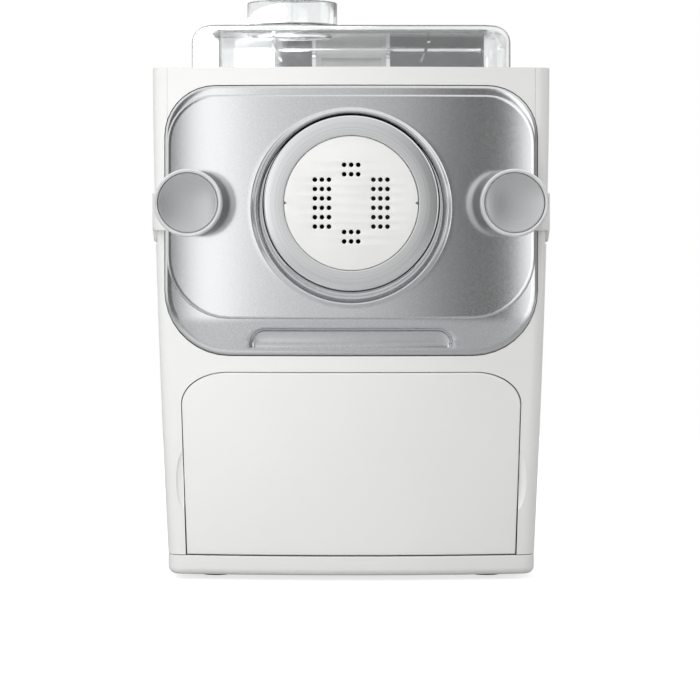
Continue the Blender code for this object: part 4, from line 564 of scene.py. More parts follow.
# ---------------------------------------------------------------------------------------------
# Rear cover, base tray and feet. The cover is white ABS with cooling slots moulded through it, and
# the base is a shallow white pan on four grey rubber feet.
# ---------------------------------------------------------------------------------------------
VENT_COUNT = 7
VENT_SIZE = (0.050, 0.0032)
VENT_PITCH = 0.009
VENT_LOW = 0.080
SOCKET_X = (0.047, 0.077)
SOCKET_Z = (0.034, 0.056)
BASE_BOTTOM = 0.003
BASE_INSET = 0.004
FOOT_RADIUS = 0.009
WELD_REACH = 0.000002
FOOT_EDGE = 0.0008


def rounded_slot(half_x, half_z, steps=8):
    """A slot with round ends, about its own middle."""
    points = arc(half_x - half_z, 0, half_z, half_z, -90, 90, steps)
    return points + [(-x, -z) for x, z in points]


rings = []
for height in levels(BASE_SEAM, BODY_TOP):
    half = rear_half(height, 0, REAR_SEAM_Y + SEAM_GAP)
    rings.append([(x, y, height) for x, y in half + [(-x, y) for x, y in reversed(half[:-1])]])
cover = add_piece("rear_cover_shell", loft("rear_cover_shell", rings, closed=False), white_abs,
                  "machine", "body_white", ["rear_cover"])
thicken(cover, BODY_WALL)
cover_tools = []
for index in range(VENT_COUNT):
    middle = VENT_LOW + VENT_SIZE[1] / 2 + index * VENT_PITCH
    slot = [(x, z + middle) for x, z in rounded_slot(VENT_SIZE[0] / 2, VENT_SIZE[1] / 2)]
    cover_tools.append(front_tool(slot, REAR_Y - 0.01, REAR_Y + 0.01))
cover_tools.append(block((SOCKET_X[0] - SEAT_GAP, REAR_Y - 0.01, SOCKET_Z[0] - SEAT_GAP),
                         (SOCKET_X[1] + SEAT_GAP, REAR_Y + 0.01, SOCKET_Z[1] + SEAT_GAP)))
carve(cover, cover_tools)
soften(cover, SHELL_EDGE)

rings = []
for step in range(CORNER_STEPS + 1):
    turn = math.radians(90 * step / CORNER_STEPS)
    rings.append([(x, y, BASE_BOTTOM + BASE_INSET * (1 - math.cos(turn)))
                  for x, y in body_ring(BASE_SEAM, BASE_INSET * (1 - math.sin(turn)))])
rings.append([(x, y, BASE_SEAM - SEAM_GAP) for x, y in body_ring(BASE_SEAM, 0)])
base = add_piece("base_pan", loft("base_pan", rings, floor=True), white_abs, "machine",
                 "body_white", ["base_tray"])
thicken(base, BODY_WALL)
soften(base, SHELL_EDGE)

# Moulded grey rubber: matt, with a fine grain (0.4 mm, drawn at 0.8 mm) and a dusty lighter bloom.
grey_rubber, tree, shader = new_material("grey_rubber_moulded", "#5a5a5b", 0.8)
place = mottle(tree, shader, 6, "#545455", "#626263", 0.72, 0.88)
fine_relief(tree, shader, place, 0.8, 0.05, 0.5)


def rounded_profile(corners, steps=5):
    """A profile of (radius, height, rounding) corners as a path with each corner rounded."""
    path = []
    count = len(corners)
    for index, (radius, height, rounding) in enumerate(corners):
        here = Vector((radius, height))
        if rounding <= 0:
            path.append(tuple(here))
            continue
        before = Vector(corners[index - 1][:2]) - here
        after = Vector(corners[(index + 1) % count][:2]) - here
        opening = before.angle(after)
        reach = min(rounding / math.tan(opening / 2), before.length * 0.49, after.length * 0.49)
        start = here + before.normalized() * reach
        end = here + after.normalized() * reach
        for step in range(steps + 1):
            share = step / steps
            path.append(tuple(start * (1 - share) ** 2 + 2 * here * share * (1 - share)
                              + end * share ** 2))
    return path


def weld(data):
    """Joins the points of a mesh that lie on one another and turns its faces outwards."""
    work = bmesh.new()
    work.from_mesh(data)
    bmesh.ops.remove_doubles(work, verts=work.verts, dist=WELD_REACH)
    bmesh.ops.recalc_face_normals(work, faces=work.faces)
    work.to_mesh(data)
    work.free()


def lathe(name, path, centre, axis, segments=96):
    """A profile path turned about an upright axis, or about one that points at the front."""
    rings = []
    for radius, height in path:
        ring = []
        for index in range(segments):
            turn = 2 * math.pi * index / segments
            x, y = radius * math.cos(turn), radius * math.sin(turn)
            offset = (x, y, height) if axis == "Z" else (x, -height, y)
            ring.append(tuple(centre[n] + offset[n] for n in range(3)))
        rings.append(ring)
    rings.append(rings[0])
    data = loft(name, rings)
    weld(data)
    data.shade_smooth()
    return data


for foot in ("front_left", "front_right", "rear_left", "rear_right"):
    low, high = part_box("foot_" + foot)
    middle = (low + high) / 2
    path = rounded_profile([(0, low.z, 0), (FOOT_RADIUS, low.z, FOOT_EDGE), (FOOT_RADIUS, high.z, 0),
                            (0, high.z, 0)])
    add_piece("rubber_foot_" + foot, lathe("foot", path, (middle.x, middle.y, 0), "Z", 48),
              grey_rubber, "machine", "rubber", ["foot_" + foot])

# ---------------------------------------------------------------------------------------------
# Inner wall, chassis, gearbox and motor. They stand on the base inside the shell: grey nylon
# mouldings, a pressed steel chassis, sintered bronze bushes and a small motor with its fan.
# ---------------------------------------------------------------------------------------------
INNER_EDGE = 0.0004

# Grey glass-filled nylon, moulded: matt, speckled by its fibres at 0.6 mm.
grey_nylon, tree, shader = new_material("grey_nylon_moulded", "#8c8e92", 0.5, IOR=1.53)
place = mottle(tree, shader, 0.6, "#84868a", "#94969a", 0.45, 0.58)
fine_relief(tree, shader, place, 0.9, 0.03, 0.4)

# Bright drawn steel: pins and shafts, with fine lengthwise draw marks (0.05 mm, drawn at 0.4 mm).
drawn_steel, tree, shader = new_material("drawn_steel", "#a9abad", 0.28, 1.0)
place = add_node(tree, "ShaderNodeTexCoord")
drawn = add_node(tree, "ShaderNodeMapping", {"Scale": (1.0, 0.04, 0.04)},
                 {"Vector": (place, "Object")})
marks = add_node(tree, "ShaderNodeTexNoise", {"Scale": per_metre(0.4), "Detail": 4.0},
                 {"Vector": (drawn, 0)})
tint_and_gloss(tree, shader, marks, 0, [(0.3, "#9c9ea0"), (0.7, "#b8babb")], 0.2, 0.36)

# Zinc-plated sheet steel: a cloudy spangle about 6 mm across, each patch with its own gloss.
plated_steel, tree, shader = new_material("zinc_plated_sheet_steel", "#b3b6b9", 0.35, 1.0)
place = add_node(tree, "ShaderNodeTexCoord")
spangle = add_node(tree, "ShaderNodeTexVoronoi", {"Scale": per_metre(6)},
                   {"Vector": (place, "Object")})
tint_and_gloss(tree, shader, spangle, "Color", [(0.2, "#a6a9ac"), (0.8, "#bfc2c5")], 0.28, 0.46)

# Sintered bronze: a dull golden metal with open pores (0.1 mm, drawn at 0.6 mm).
sintered_bronze, tree, shader = new_material("sintered_bronze", "#b08d57", 0.45, 1.0)
place = mottle(tree, shader, 3, "#a37f4b", "#bd9a63", 0.4, 0.55)
fine_relief(tree, shader, place, 0.6, 0.05, 0.6, "ShaderNodeTexVoronoi")

# Enamelled copper windings: turns of 0.6 mm wire lying side by side round the motor's axis.
copper_windings, tree, shader = new_material("enamelled_copper_windings", "#a8562c", 0.3, 0.9)
place = add_node(tree, "ShaderNodeTexCoord")
turns = add_node(tree, "ShaderNodeTexWave", {"Scale": per_metre(0.6) / 20, "Distortion": 0.6},
                 {"Vector": (place, "Object")}, bands_direction="Y")
tint = add_node(tree, "ShaderNodeValToRGB", links={0: (turns, 0)},
                stops=[(0.1, linear("#7a3a1c")), (0.6, linear("#b8642f"))])
tree.links.new(tint.outputs[0], shader.inputs["Base Color"])
relief = add_node(tree, "ShaderNodeBump", {"Strength": 0.8, "Distance": 0.0002},
                  {"Height": (turns, 0)})
tree.links.new(relief.outputs[0], shader.inputs["Normal"])

# Black moulded ABS with a spark-eroded grain of 0.5 mm: matt, with small glints.
black_abs, tree, shader = new_material("black_abs_grained", "#1d1d1f", 0.42, IOR=1.53)
place = mottle(tree, shader, 20, "#1a1a1c", "#232325", 0.36, 0.48)
fine_relief(tree, shader, place, 0.5, 0.03, 0.5)


def dress(name, material, edge=0.0, limit_deg=32):
    """Gives a CAD node its finish and, where it asks for it, rounded edges."""
    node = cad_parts[name]
    node.data.materials.clear()
    node.data.materials.append(material)
    if edge:
        weld = node.modifiers.new("weld", "WELD")
        weld.merge_threshold = 0.000005
        soften(node, edge, 2, limit_deg)
    return node


for name in ("bulkhead", "gearbox_plate", "gearbox_cover", "output_gear"):
    dress(name, grey_nylon, INNER_EDGE)
for name in ("idler_gear", "idler_pin", "motor_pinion", "motor_rotor", "drive_shaft"):
    dress(name, drawn_steel, INNER_EDGE / 2)
for name in ("chassis", "motor_case"):
    dress(name, plated_steel, INNER_EDGE)
for name in ("front_bush", "rear_bush"):
    dress(name, sintered_bronze, INNER_EDGE / 2)
dress("motor_stator", copper_windings)
for name in ("motor_end_cap", "cooling_fan"):
    dress(name, black_abs, INNER_EDGE / 2)

# ---------------------------------------------------------------------------------------------
# Dough chamber, screw and paddle. The chamber is a smoke-grey see-through tub, moulded in one with
# its rim; the screw is dark acetal and the paddle is stainless steel, both pushed on the shaft.
# ---------------------------------------------------------------------------------------------
SCREW_FRONT_Y = -0.1661
SCREW_REAR_Y = -0.100
SCREW_CORE = 0.011
SCREW_OUTER = 0.0255
SCREW_PITCH = 0.025
SCREW_LAND = 0.0045
SCREW_SOCKET = 0.012
SHAFT_BORE = 0.0063
PADDLE_HUB = 0.010
PADDLE_REAR_Y = 0.047
PADDLE_ROD = 0.003
PADDLE_REACH = 0.040
RUNNING_GAP = 0.0005
AXIS_Z = 0.210

# Smoke-grey polycarbonate, moulded satin: light gets through it softened and a little darker.
smoke_polycarbonate, tree, shader = new_material("smoke_polycarbonate", "#63676a", 0.12, IOR=1.585,
                                                 Transmission_Weight=0.6)
place = mottle(tree, shader, 30, "#5f6366", "#686c6f", 0.09, 0.17)
fine_relief(tree, shader, place, 1.5, 0.01, 0.3)
dress("mixing_chamber", smoke_polycarbonate, 0.0006)

# Dark grey acetal, turned from bar: satin, with fine lathe lines (0.1 mm, drawn at 0.7 mm).
dark_acetal, tree, shader = new_material("dark_acetal_turned", "#3a3b3e", 0.35, IOR=1.48)
place = mottle(tree, shader, 8, "#35363a", "#414246", 0.3, 0.42)
fine_relief(tree, shader, place, 0.7, 0.02, 0.3)

# Stainless steel, electropolished: bright and clean, with a slow soft ripple of 4 mm.
polished_stainless, tree, shader = new_material("electropolished_stainless", "#c4c5c5", 0.16, 1.0)
place = mottle(tree, shader, 4, "#bdbebe", "#cbcccc", 0.12, 0.22)
fine_relief(tree, shader, place, 4, 0.03, 0.25)


def screw_section(y):
    """The screw's outline at one place along it: a round core with one rounded land."""
    twist = 2 * math.pi * (y - SCREW_FRONT_Y) / SCREW_PITCH
    half_land = math.pi * SCREW_LAND / SCREW_PITCH
    ring = []
    for index in range(48):
        angle = 2 * math.pi * index / 48
        offset = (angle - twist + math.pi) % (2 * math.pi) - math.pi
        share = min(1.0, max(0.0, (abs(offset) - half_land) / (1.5 * half_land)))
        rise = 0.5 * (1 + math.cos(math.pi * share)) if share < 1 else 0.0
        radius = SCREW_CORE + (SCREW_OUTER - SCREW_CORE) * rise
        ring.append((radius * math.cos(angle), y, AXIS_Z + radius * math.sin(angle)))
    return ring


length = SCREW_REAR_Y - SCREW_FRONT_Y
rings = [screw_section(SCREW_FRONT_Y + length * n / 80) for n in range(81)]
screw = add_piece("helical_screw", loft("helical_screw", rings, floor=True, roof=True), dark_acetal,
                  "shaft_body", "dark_plastic", ["extruder_screw"])
socket = [[(SHAFT_BORE * math.cos(a), y, AXIS_Z + SHAFT_BORE * math.sin(a))
           for a in [2 * math.pi * n / 32 for n in range(32)]]
          for y in (SCREW_REAR_Y - SCREW_SOCKET, SCREW_REAR_Y + 0.01)]
carve(screw, [lofted_tool(socket)])
soften(screw, 0.0003, 2, 50)


def bar(start, end, radius, steps=28):
    """A round bar between two points."""
    start, end = Vector(start), Vector(end)
    along = (end - start).normalized()
    aside = along.orthogonal().normalized()
    up = along.cross(aside)
    rings = []
    for middle in (start, end):
        rings.append([tuple(middle + radius * (aside * math.cos(a) + up * math.sin(a)))
                      for a in [2 * math.pi * n / steps for n in range(steps)]])
    return add_piece("bar", loft("bar", rings, floor=True, roof=True), white_abs)


hub_front = SCREW_REAR_Y + RUNNING_GAP
paddle = bar((0, hub_front, AXIS_Z), (0, PADDLE_REAR_Y, AXIS_Z), PADDLE_HUB, 48)
paddle.name = "stainless_paddle"
first_y = hub_front + 2 * PADDLE_ROD
last_y = PADDLE_REAR_Y - 2 * PADDLE_ROD
parts = [bar((-PADDLE_REACH, y, AXIS_Z), (PADDLE_REACH, y, AXIS_Z), PADDLE_ROD)
         for y in (first_y, last_y)]
parts += [bar((x, hub_front, AXIS_Z), (x, PADDLE_REAR_Y, AXIS_Z), PADDLE_ROD)
          for x in (-PADDLE_REACH, PADDLE_REACH)]
carve(paddle, parts, "UNION")
carve(paddle, [bar((0, hub_front - 0.01, AXIS_Z), (0, PADDLE_REAR_Y + 0.01, AXIS_Z), SHAFT_BORE)])
paddle.data.materials.clear()
paddle.data.materials.append(polished_stainless)
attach(paddle, "shaft_body")
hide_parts("mixing_paddle")
soften(paddle, 0.0008, 3, 30)

# ---------------------------------------------------------------------------------------------
# Silver panel: a bowed ABS moulding painted silver, in two parts. The frame has the chin with its
# finger grip; the face plate is clipped on in front of it and sinks in a round dish at the ring.
# ---------------------------------------------------------------------------------------------
PANEL_PROUD = 0.0015
PANEL_THICKNESS = 0.010
PANEL_EDGE = 0.0016
PANEL_STEPS = 22
FACE_MARGIN = 0.0012
FACE_TOP_MARGIN = 0.0052
FACE_THICKNESS = 0.0018
FACE_EDGE = 0.0011
CREASE_Z = 0.1457
CHIN_LEAN = 0.055
DISH_Z = 0.2075
DISH_RADIUS = 0.0534
DISH_FLOOR_RADIUS = 0.0508
DISH_DEPTH = 0.0044
DISH_STEPS = 12
DISH_GROOVE = (0.0513, 0.0003)
DISH_BEAD = (0.0026, 0.0006)
BEAD_STEPS = 8
RING_HOLE = 0.0492
FRAME_HOLE = 0.0590
GRIP_HALF = 0.057
GRIP_LOW = 0.1298
GRIP_HIGH = 0.1410
GRIP_RADIUS = 0.009
GRIP_FLARE = 0.0019
GRIP_STRIPS = 14
GRIP_DEPTHS = (0.0040, 0.0046)
OUTLINE_SPACING = 0.006

# Silver paint on ABS: aluminium flakes in a clear binder. The flakes give a fine sparkle (really
# 0.03 mm, drawn at 0.4 mm), the smooth binder keeps the reflections of the room readable.
silver_paint, tree, shader = new_material("silver_flake_paint", "#d6d7d9", 0.12, 1.0)
place = add_node(tree, "ShaderNodeTexCoord")
flakes = add_node(tree, "ShaderNodeTexVoronoi", {"Scale": per_metre(0.4)},
                  {"Vector": (place, "Object")})
tint_and_gloss(tree, shader, flakes, "Color", [(0.15, "#d2d3d5"), (0.6, "#d7d8da"),
                                               (0.9, "#dededf")], 0.10, 0.15)
fine_relief(tree, shader, place, 0.8, 0.004, 0.04)


def stretch_counts(outline, spacing):
    """How many parts each stretch of an outline is cut into."""
    return [max(1, math.ceil(math.dist(start, end) / spacing))
            for start, end in zip(outline, outline[1:] + outline[:1])]


def cut_stretches(outline, counts):
    """The outline with each stretch cut into its count of parts."""
    made = []
    for start, end, count in zip(outline, outline[1:] + outline[:1], counts):
        made += [(start[0] + (end[0] - start[0]) * n / count,
                  start[1] + (end[1] - start[1]) * n / count) for n in range(count)]
    return made


def bowed(points, lead):
    """Points of the front view as a ring on the bowed front, lead ahead of it."""
    return [(x, bow_y(x) - lead, z) for x, z in points]


def set_back(height):
    """How far the chin has leant back below the fold under the face plate."""
    return CHIN_LEAN * max(CREASE_Z - height, 0)


def hole_points(outline, middle_z, radius):
    """Points on a round hole that lie towards the outline's points."""
    made = []
    for x, z in outline:
        turn = math.atan2(z - AXIS_Z, x)
        made.append((radius * math.cos(turn), middle_z + radius * math.sin(turn)))
    return made


def between(first, second, share):
    return [(a[0] + (b[0] - a[0]) * share, a[1] + (b[1] - a[1]) * share)
            for a, b in zip(first, second)]


def rim_rings(outline_at, counts, lead, thickness, edge):
    """The back edge, the side and the rounded front edge of a bowed plate."""
    rings = [bowed(cut_stretches(outline_at(0), counts), lead - thickness)]
    for step in range(6):
        turn = math.radians(90 * step / 5)
        points = cut_stretches(outline_at(-edge * (1 - math.cos(turn))), counts)
        rings.append(bowed(points, lead - edge * (1 - math.sin(turn))))
    return rings


outline = panel_outline(0)
counts = stretch_counts(outline, OUTLINE_SPACING)
rings = rim_rings(panel_outline, counts, PANEL_PROUD, PANEL_THICKNESS, PANEL_EDGE)
outside = cut_stretches(panel_outline(-PANEL_EDGE), counts)
hole = hole_points(outside, DISH_Z, FRAME_HOLE)
for step in range(1, PANEL_STEPS + 1):
    rings.append(bowed(between(outside, hole, step / PANEL_STEPS), PANEL_PROUD))
back = PANEL_PROUD - PANEL_THICKNESS
rings.append(bowed(hole, back))
rings.append(bowed(between(outside, hole, 0.5), back))
rings.append(rings[0])
panel = add_piece("silver_panel_frame", loft("silver_panel_frame", rings), silver_paint, "machine",
                  "panel_silver", ["panel_frame"])
weld(panel.data)
for vertex in panel.data.vertices:
    x, y, z = vertex.co
    if y < bow_y(x) + PANEL_THICKNESS / 2:
        vertex.co.y += set_back(z)


def grip_outline(shrink):
    return rounded_outline(GRIP_HALF - shrink, GRIP_LOW, GRIP_HIGH - shrink, 0,
                           GRIP_RADIUS - shrink)


def grip_ring(shrink, low_depth, high_depth):
    """One ring of the grip's tool; the recess is deeper at its top than at its foot."""
    ring = []
    for x, z in cut_stretches(grip_outline(shrink), grip_counts):
        share = (z - GRIP_LOW) / (GRIP_HIGH - GRIP_LOW)
        depth = low_depth + (high_depth - low_depth) * share
        ring.append((x, bow_y(x) - PANEL_PROUD + set_back(z) + depth, z))
    return ring


grip_counts = stretch_counts(grip_outline(0), OUTLINE_SPACING / 2)
rings = [grip_ring(-0.0003, -0.004, -0.004), grip_ring(-0.0003, -0.0001, -0.0001)]
for step in range(1, 6):
    share = step / 5
    rings.append(grip_ring(GRIP_FLARE * share, GRIP_DEPTHS[0] * share ** 1.6,
                           GRIP_DEPTHS[0] * share ** 1.6))
rings.append(grip_ring(GRIP_FLARE + 0.0003, *GRIP_DEPTHS))
rings.append(grip_ring(GRIP_FLARE + 0.0012, GRIP_DEPTHS[0] + 0.0004, GRIP_DEPTHS[1] + 0.0004))
grip = add_piece("cutter", loft("cutter", rings, floor=True, roof=True), silver_paint)
work = bmesh.new()
work.from_mesh(grip.data)
for step in range(-GRIP_STRIPS, GRIP_STRIPS + 1):
    bmesh.ops.bisect_plane(work, geom=work.verts[:] + work.edges[:] + work.faces[:],
                           plane_co=(GRIP_HALF * step / (GRIP_STRIPS + 1), 0, 0),
                           plane_no=(1, 0, 0))
work.to_mesh(grip.data)
work.free()
carve(panel, [grip])
soften(panel, 0.0002, 2, 40)


def face_outline(grow):
    return rounded_outline(HALF_PANEL - FACE_MARGIN + grow, CREASE_Z - grow,
                           PANEL_HIGH - FACE_TOP_MARGIN + grow, PANEL_LOW_RADIUS - FACE_MARGIN + grow,
                           PANEL_TOP_RADIUS - FACE_MARGIN + grow)


# The face plate in rings, from its back edge over its rounded rim to the dish: the dish's rim rolls
# over softly, its slope ends in a flat floor, and a fine groove runs round the floor's edge.
face_lead = PANEL_PROUD + SEAT_GAP + FACE_THICKNESS
face_counts = stretch_counts(face_outline(0), OUTLINE_SPACING / 2)
rings = rim_rings(face_outline, face_counts, face_lead, FACE_THICKNESS, FACE_EDGE)
outside = cut_stretches(face_outline(-FACE_EDGE), face_counts)
rim = hole_points(outside, DISH_Z, DISH_RADIUS + DISH_BEAD[0])
for share in (0.03, 0.1, 0.22, 0.4, 0.6, 0.8, 0.95, 1.0):
    rings.append(bowed(between(outside, rim, share), face_lead))
for step in range(1, BEAD_STEPS + 1):
    share = step / BEAD_STEPS
    rings.append(bowed(hole_points(outside, DISH_Z, DISH_RADIUS + DISH_BEAD[0] * (1 - share)),
                       face_lead + DISH_BEAD[1] * share ** 2 * (3 - 2 * share)))
floor_y = FRONT_Y - face_lead + DISH_DEPTH
for step in range(1, DISH_STEPS + 1):
    share = step / DISH_STEPS
    radius = DISH_RADIUS + (DISH_FLOOR_RADIUS - DISH_RADIUS) * share
    sink = share ** 1.7 * (1.0 + 0.35 * (1 - share))
    points = hole_points(outside, DISH_Z, radius)
    rings.append([(x, (bow_y(x) - face_lead - DISH_BEAD[1]) * (1 - sink) + floor_y * sink, z)
                  for x, z in points])
floor_edge = hole_points(outside, DISH_Z, DISH_FLOOR_RADIUS)
ring_edge = hole_points(outside, AXIS_Z, RING_HOLE)
for share, sink in ((0.30, 0.0), (0.36, DISH_GROOVE[1]), (0.44, DISH_GROOVE[1]), (0.50, 0.0),
                    (0.9, 0.0), (1.0, 0.0004)):
    rings.append([(x, floor_y + sink, z) for x, z in between(floor_edge, ring_edge, share)])
rings.append([(x, floor_y + FACE_THICKNESS, z) for x, z in ring_edge])
rings.append([(x, max(floor_y, bow_y(x) - face_lead) + FACE_THICKNESS, z) for x, z in
              hole_points(outside, DISH_Z, DISH_RADIUS + FACE_THICKNESS)])
rings.append(rings[0])
face_plate = add_piece("silver_face_plate", loft("silver_face_plate", rings), silver_paint, "machine",
                       "face_silver", ["panel_face"])
weld(face_plate.data)
face_plate.data.shade_smooth()
face_plate.data.set_sharp_from_angle(angle=math.radians(50))

# ---------------------------------------------------------------------------------------------
# Locking ring, shaping disc and extrusion tube. The ring is turned aluminium with a silver coat; it
# holds the white moulded disc against the grey tube. The disc has two small notches for its tool.
# ---------------------------------------------------------------------------------------------
RING_RADIUS = 0.0486
RING_DEPTH = 0.015
RING_FRONT_Y = -0.1778
RING_LIP = 0.004
RING_CONE = 0.0010
RING_EDGE = 0.0009
DISC_RADIUS = 0.0372
DISC_SETBACK = 0.0008
DISC_THICKNESS = 0.004
DISC_FLANGE = 0.005
DISC_BEVEL = 0.0005
DISC_NOTCH = (0.0021, 0.0016)
OUTLET_RADIUS = 0.0013
OUTLET_PITCH = (0.0039, 0.0052)
OUTLET_COLUMNS = 3
SIDE_GROUP = (0.0162, 6)
MIDDLE_GROUP = (0.0186, 2)

# Turned aluminium with a satin silver coat: fine circular tool lines (really 0.1 mm, drawn at
# 0.8 mm) that draw the highlights out round the ring.
turned_aluminium, tree, shader = new_material("turned_aluminium", "#e4e5e6", 0.16, 1.0)
place = add_node(tree, "ShaderNodeTexCoord")
from_axis = add_node(tree, "ShaderNodeVectorMath", {1: (0, 0, AXIS_Z)}, {0: (place, "Object")},
                     operation="SUBTRACT")
flattened = add_node(tree, "ShaderNodeVectorMath", {1: (1, 0, 1)}, {0: (from_axis, 0)},
                     operation="MULTIPLY")
radius_here = add_node(tree, "ShaderNodeVectorMath", links={0: (flattened, 0)}, operation="LENGTH")
tool_lines = add_node(tree, "ShaderNodeTexNoise", {"W": 0.0, "Scale": per_metre(0.8), "Detail": 2.0},
                      {"W": (radius_here, "Value")}, noise_dimensions="1D")
tint_and_gloss(tree, shader, tool_lines, 0, [(0.3, "#e0e1e2"), (0.7, "#e8e9ea")], 0.13, 0.20)
relief = add_node(tree, "ShaderNodeBump", {"Strength": 0.12, "Distance": 0.00002},
                  {"Height": (tool_lines, 0)})
tree.links.new(relief.outputs[0], shader.inputs["Normal"])

skirt = DISC_RADIUS + DISC_FLANGE + SEAT_GAP
lip = DISC_RADIUS + SEAT_GAP
path = rounded_profile([(lip, -RING_CONE * 0.3, 0.0006), (RING_RADIUS, -RING_CONE, RING_EDGE),
                        (RING_RADIUS, -RING_DEPTH, 0.0005), (skirt, -RING_DEPTH, 0.0003),
                        (skirt, -RING_LIP, 0), (lip, -RING_LIP, 0.0002)])
ring = add_piece("turned_locking_ring", lathe("ring", path, (0, RING_FRONT_Y, AXIS_Z), "Y", 160),
                 turned_aluminium, "ring_body", "ring_silver", ["locking_ring"])
ring.data.set_sharp_from_angle(angle=math.radians(50))

# White acetal, moulded satin: very even, with a soft skin of 0.3 mm grain, drawn at 1.2 mm.
white_acetal, tree, shader = new_material("white_acetal_moulded", "#f1f1ef", 0.38, IOR=1.48)
place = mottle(tree, shader, 25, "#efefed", "#f4f4f2", 0.34, 0.44)
fine_relief(tree, shader, place, 1.2, 0.01, 0.15)


def outlet_places():
    """Tall blocks of outlets left and right of the middle, low ones above and below it."""
    places = []
    for side in (-1, 1):
        for (across, up, rows) in ((side * SIDE_GROUP[0], 0, SIDE_GROUP[1]),
                                   (0, side * MIDDLE_GROUP[0], MIDDLE_GROUP[1])):
            for column in range(OUTLET_COLUMNS):
                for row in range(rows):
                    places.append((across + OUTLET_PITCH[0] * (column - (OUTLET_COLUMNS - 1) / 2),
                                   up + OUTLET_PITCH[1] * (row - (rows - 1) / 2)))
    return places


def notched_circle(radius, notch_width, notch_reach):
    """A round outline with a small three-cornered notch at each side."""
    half = math.degrees(notch_width / 2 / radius)
    points = arc(0, 0, radius, radius, half, 180 - half, 70)
    points.append((-radius + notch_reach, 0))
    points += arc(0, 0, radius, radius, 180 + half, 360 - half, 70)
    points.append((radius - notch_reach, 0))
    return points


def outlined_plate(name, loops, front_y, thickness, bevel, material, *placing):
    """A flat plate along Y from closed outlines, the later ones being holes, with soft edges."""
    curve = bpy.data.curves.new(name, "CURVE")
    curve.dimensions = "2D"
    curve.fill_mode = "BOTH"
    curve.extrude = thickness / 2 - bevel
    curve.bevel_depth = bevel
    curve.bevel_resolution = 2
    curve.offset = -bevel
    for loop in loops:
        spline = curve.splines.new("POLY")
        spline.points.add(len(loop) - 1)
        for point, (x, z) in zip(spline.points, loop):
            point.co = (x, z, 0, 1)
        spline.use_cyclic_u = True
    drawn = bpy.data.objects.new(name, curve)
    bpy.context.scene.collection.objects.link(drawn)
    bpy.context.view_layer.update()
    data = bpy.data.meshes.new_from_object(drawn)
    bpy.data.objects.remove(drawn, do_unlink=True)
    for vertex in data.vertices:
        x, z, y = vertex.co
        vertex.co = (x, front_y + thickness / 2 - y, AXIS_Z + z)
    weld(data)
    data.shade_smooth()
    data.set_sharp_from_angle(angle=math.radians(35))
    return add_piece(name, data, material, *placing)


disc_front = RING_FRONT_Y + DISC_SETBACK
disc_total = RING_LIP + SEAT_GAP + DISC_THICKNESS - DISC_SETBACK
loops = [notched_circle(DISC_RADIUS, *DISC_NOTCH)]
loops += [arc(x, z, OUTLET_RADIUS, OUTLET_RADIUS, 0, 360, 16)[:-1] for x, z in outlet_places()]
outlined_plate("white_shaping_disc", loops, disc_front, disc_total, DISC_BEVEL, white_acetal,
               "machine", "disc_white", ["shaping_disc"])
flange_path = rounded_profile([(DISC_RADIUS - 0.004, -RING_LIP - SEAT_GAP, 0),
                               (DISC_RADIUS + DISC_FLANGE, -RING_LIP - SEAT_GAP, 0.0005),
                               (DISC_RADIUS + DISC_FLANGE, -RING_LIP - SEAT_GAP - DISC_THICKNESS,
                                0.0005),
                               (DISC_RADIUS - 0.004, -RING_LIP - SEAT_GAP - DISC_THICKNESS, 0)])
add_piece("shaping_disc_flange", lathe("flange", flange_path, (0, RING_FRONT_Y, AXIS_Z), "Y"),
          white_acetal, "machine", "disc_white")

dress("extrusion_tube", grey_nylon, 0.0003, limit_deg=25)
dress("tube_seal", grey_rubber)
dress("shaft_seal", grey_rubber)

# ---------------------------------------------------------------------------------------------
# Lock arms and knobs. Each arm is a white moulded strap bent round the body's corner on a steel
# pin; its knob is an aluminium rim with a satin grey cap, screwed on from behind.
# ---------------------------------------------------------------------------------------------
ARM_THICKNESS = 0.0024
ARM_FRONT_Y = -0.17116
ARM_TIP_INSET = 0.011
ARM_TIP_HALF = 0.0085
ARM_FOLD_Z = 0.1948
ARM_EDGE = 0.0006
KNOB_X = 0.0892
KNOB_FRONT_Y = -0.1995
KNOB_RADIUS = 0.0186
KNOB_HEAD = 0.013
KNOB_NECK = 0.010
KNOB_RIM = 0.0022
KNOB_CAP = 0.0028
KNOB_DISH = 0.0014
KNOB_BACK_Y = -0.17476

# Rim of the knobs: turned aluminium, bead blasted and bright: pale, with a soft wide highlight.
blasted_aluminium, tree, shader = new_material("blasted_aluminium", "#e6e7e8", 0.3, 0.8)
place = mottle(tree, shader, 5, "#e2e3e4", "#ebecec", 0.27, 0.34)
fine_relief(tree, shader, place, 0.6, 0.01, 0.15)

# Caps of the knobs: anodised aluminium spun with fine circular lines (0.1 mm, drawn at 0.5 mm),
# which dull the shine to an even satin grey.
spun_anodised, tree, shader = new_material("spun_anodised_aluminium", "#c6c7c8", 0.24, 0.95)
place = add_node(tree, "ShaderNodeTexCoord")
folded = add_node(tree, "ShaderNodeVectorMath", links={0: (place, "Object")}, operation="ABSOLUTE")
from_knob = add_node(tree, "ShaderNodeVectorMath", {1: (KNOB_X, 0, AXIS_Z)}, {0: (folded, 0)},
                     operation="SUBTRACT")
flattened = add_node(tree, "ShaderNodeVectorMath", {1: (1, 0, 1)}, {0: (from_knob, 0)},
                     operation="MULTIPLY")
radius_here = add_node(tree, "ShaderNodeVectorMath", links={0: (flattened, 0)}, operation="LENGTH")
spun_lines = add_node(tree, "ShaderNodeTexNoise", {"Scale": per_metre(0.5), "Detail": 2.0},
                      {"W": (radius_here, "Value")}, noise_dimensions="1D")
tint_and_gloss(tree, shader, spun_lines, 0, [(0.3, "#c2c3c4"), (0.7, "#cbcccd")], 0.20, 0.28)
relief = add_node(tree, "ShaderNodeBump", {"Strength": 0.1, "Distance": 0.00002},
                  {"Height": (spun_lines, 0)})
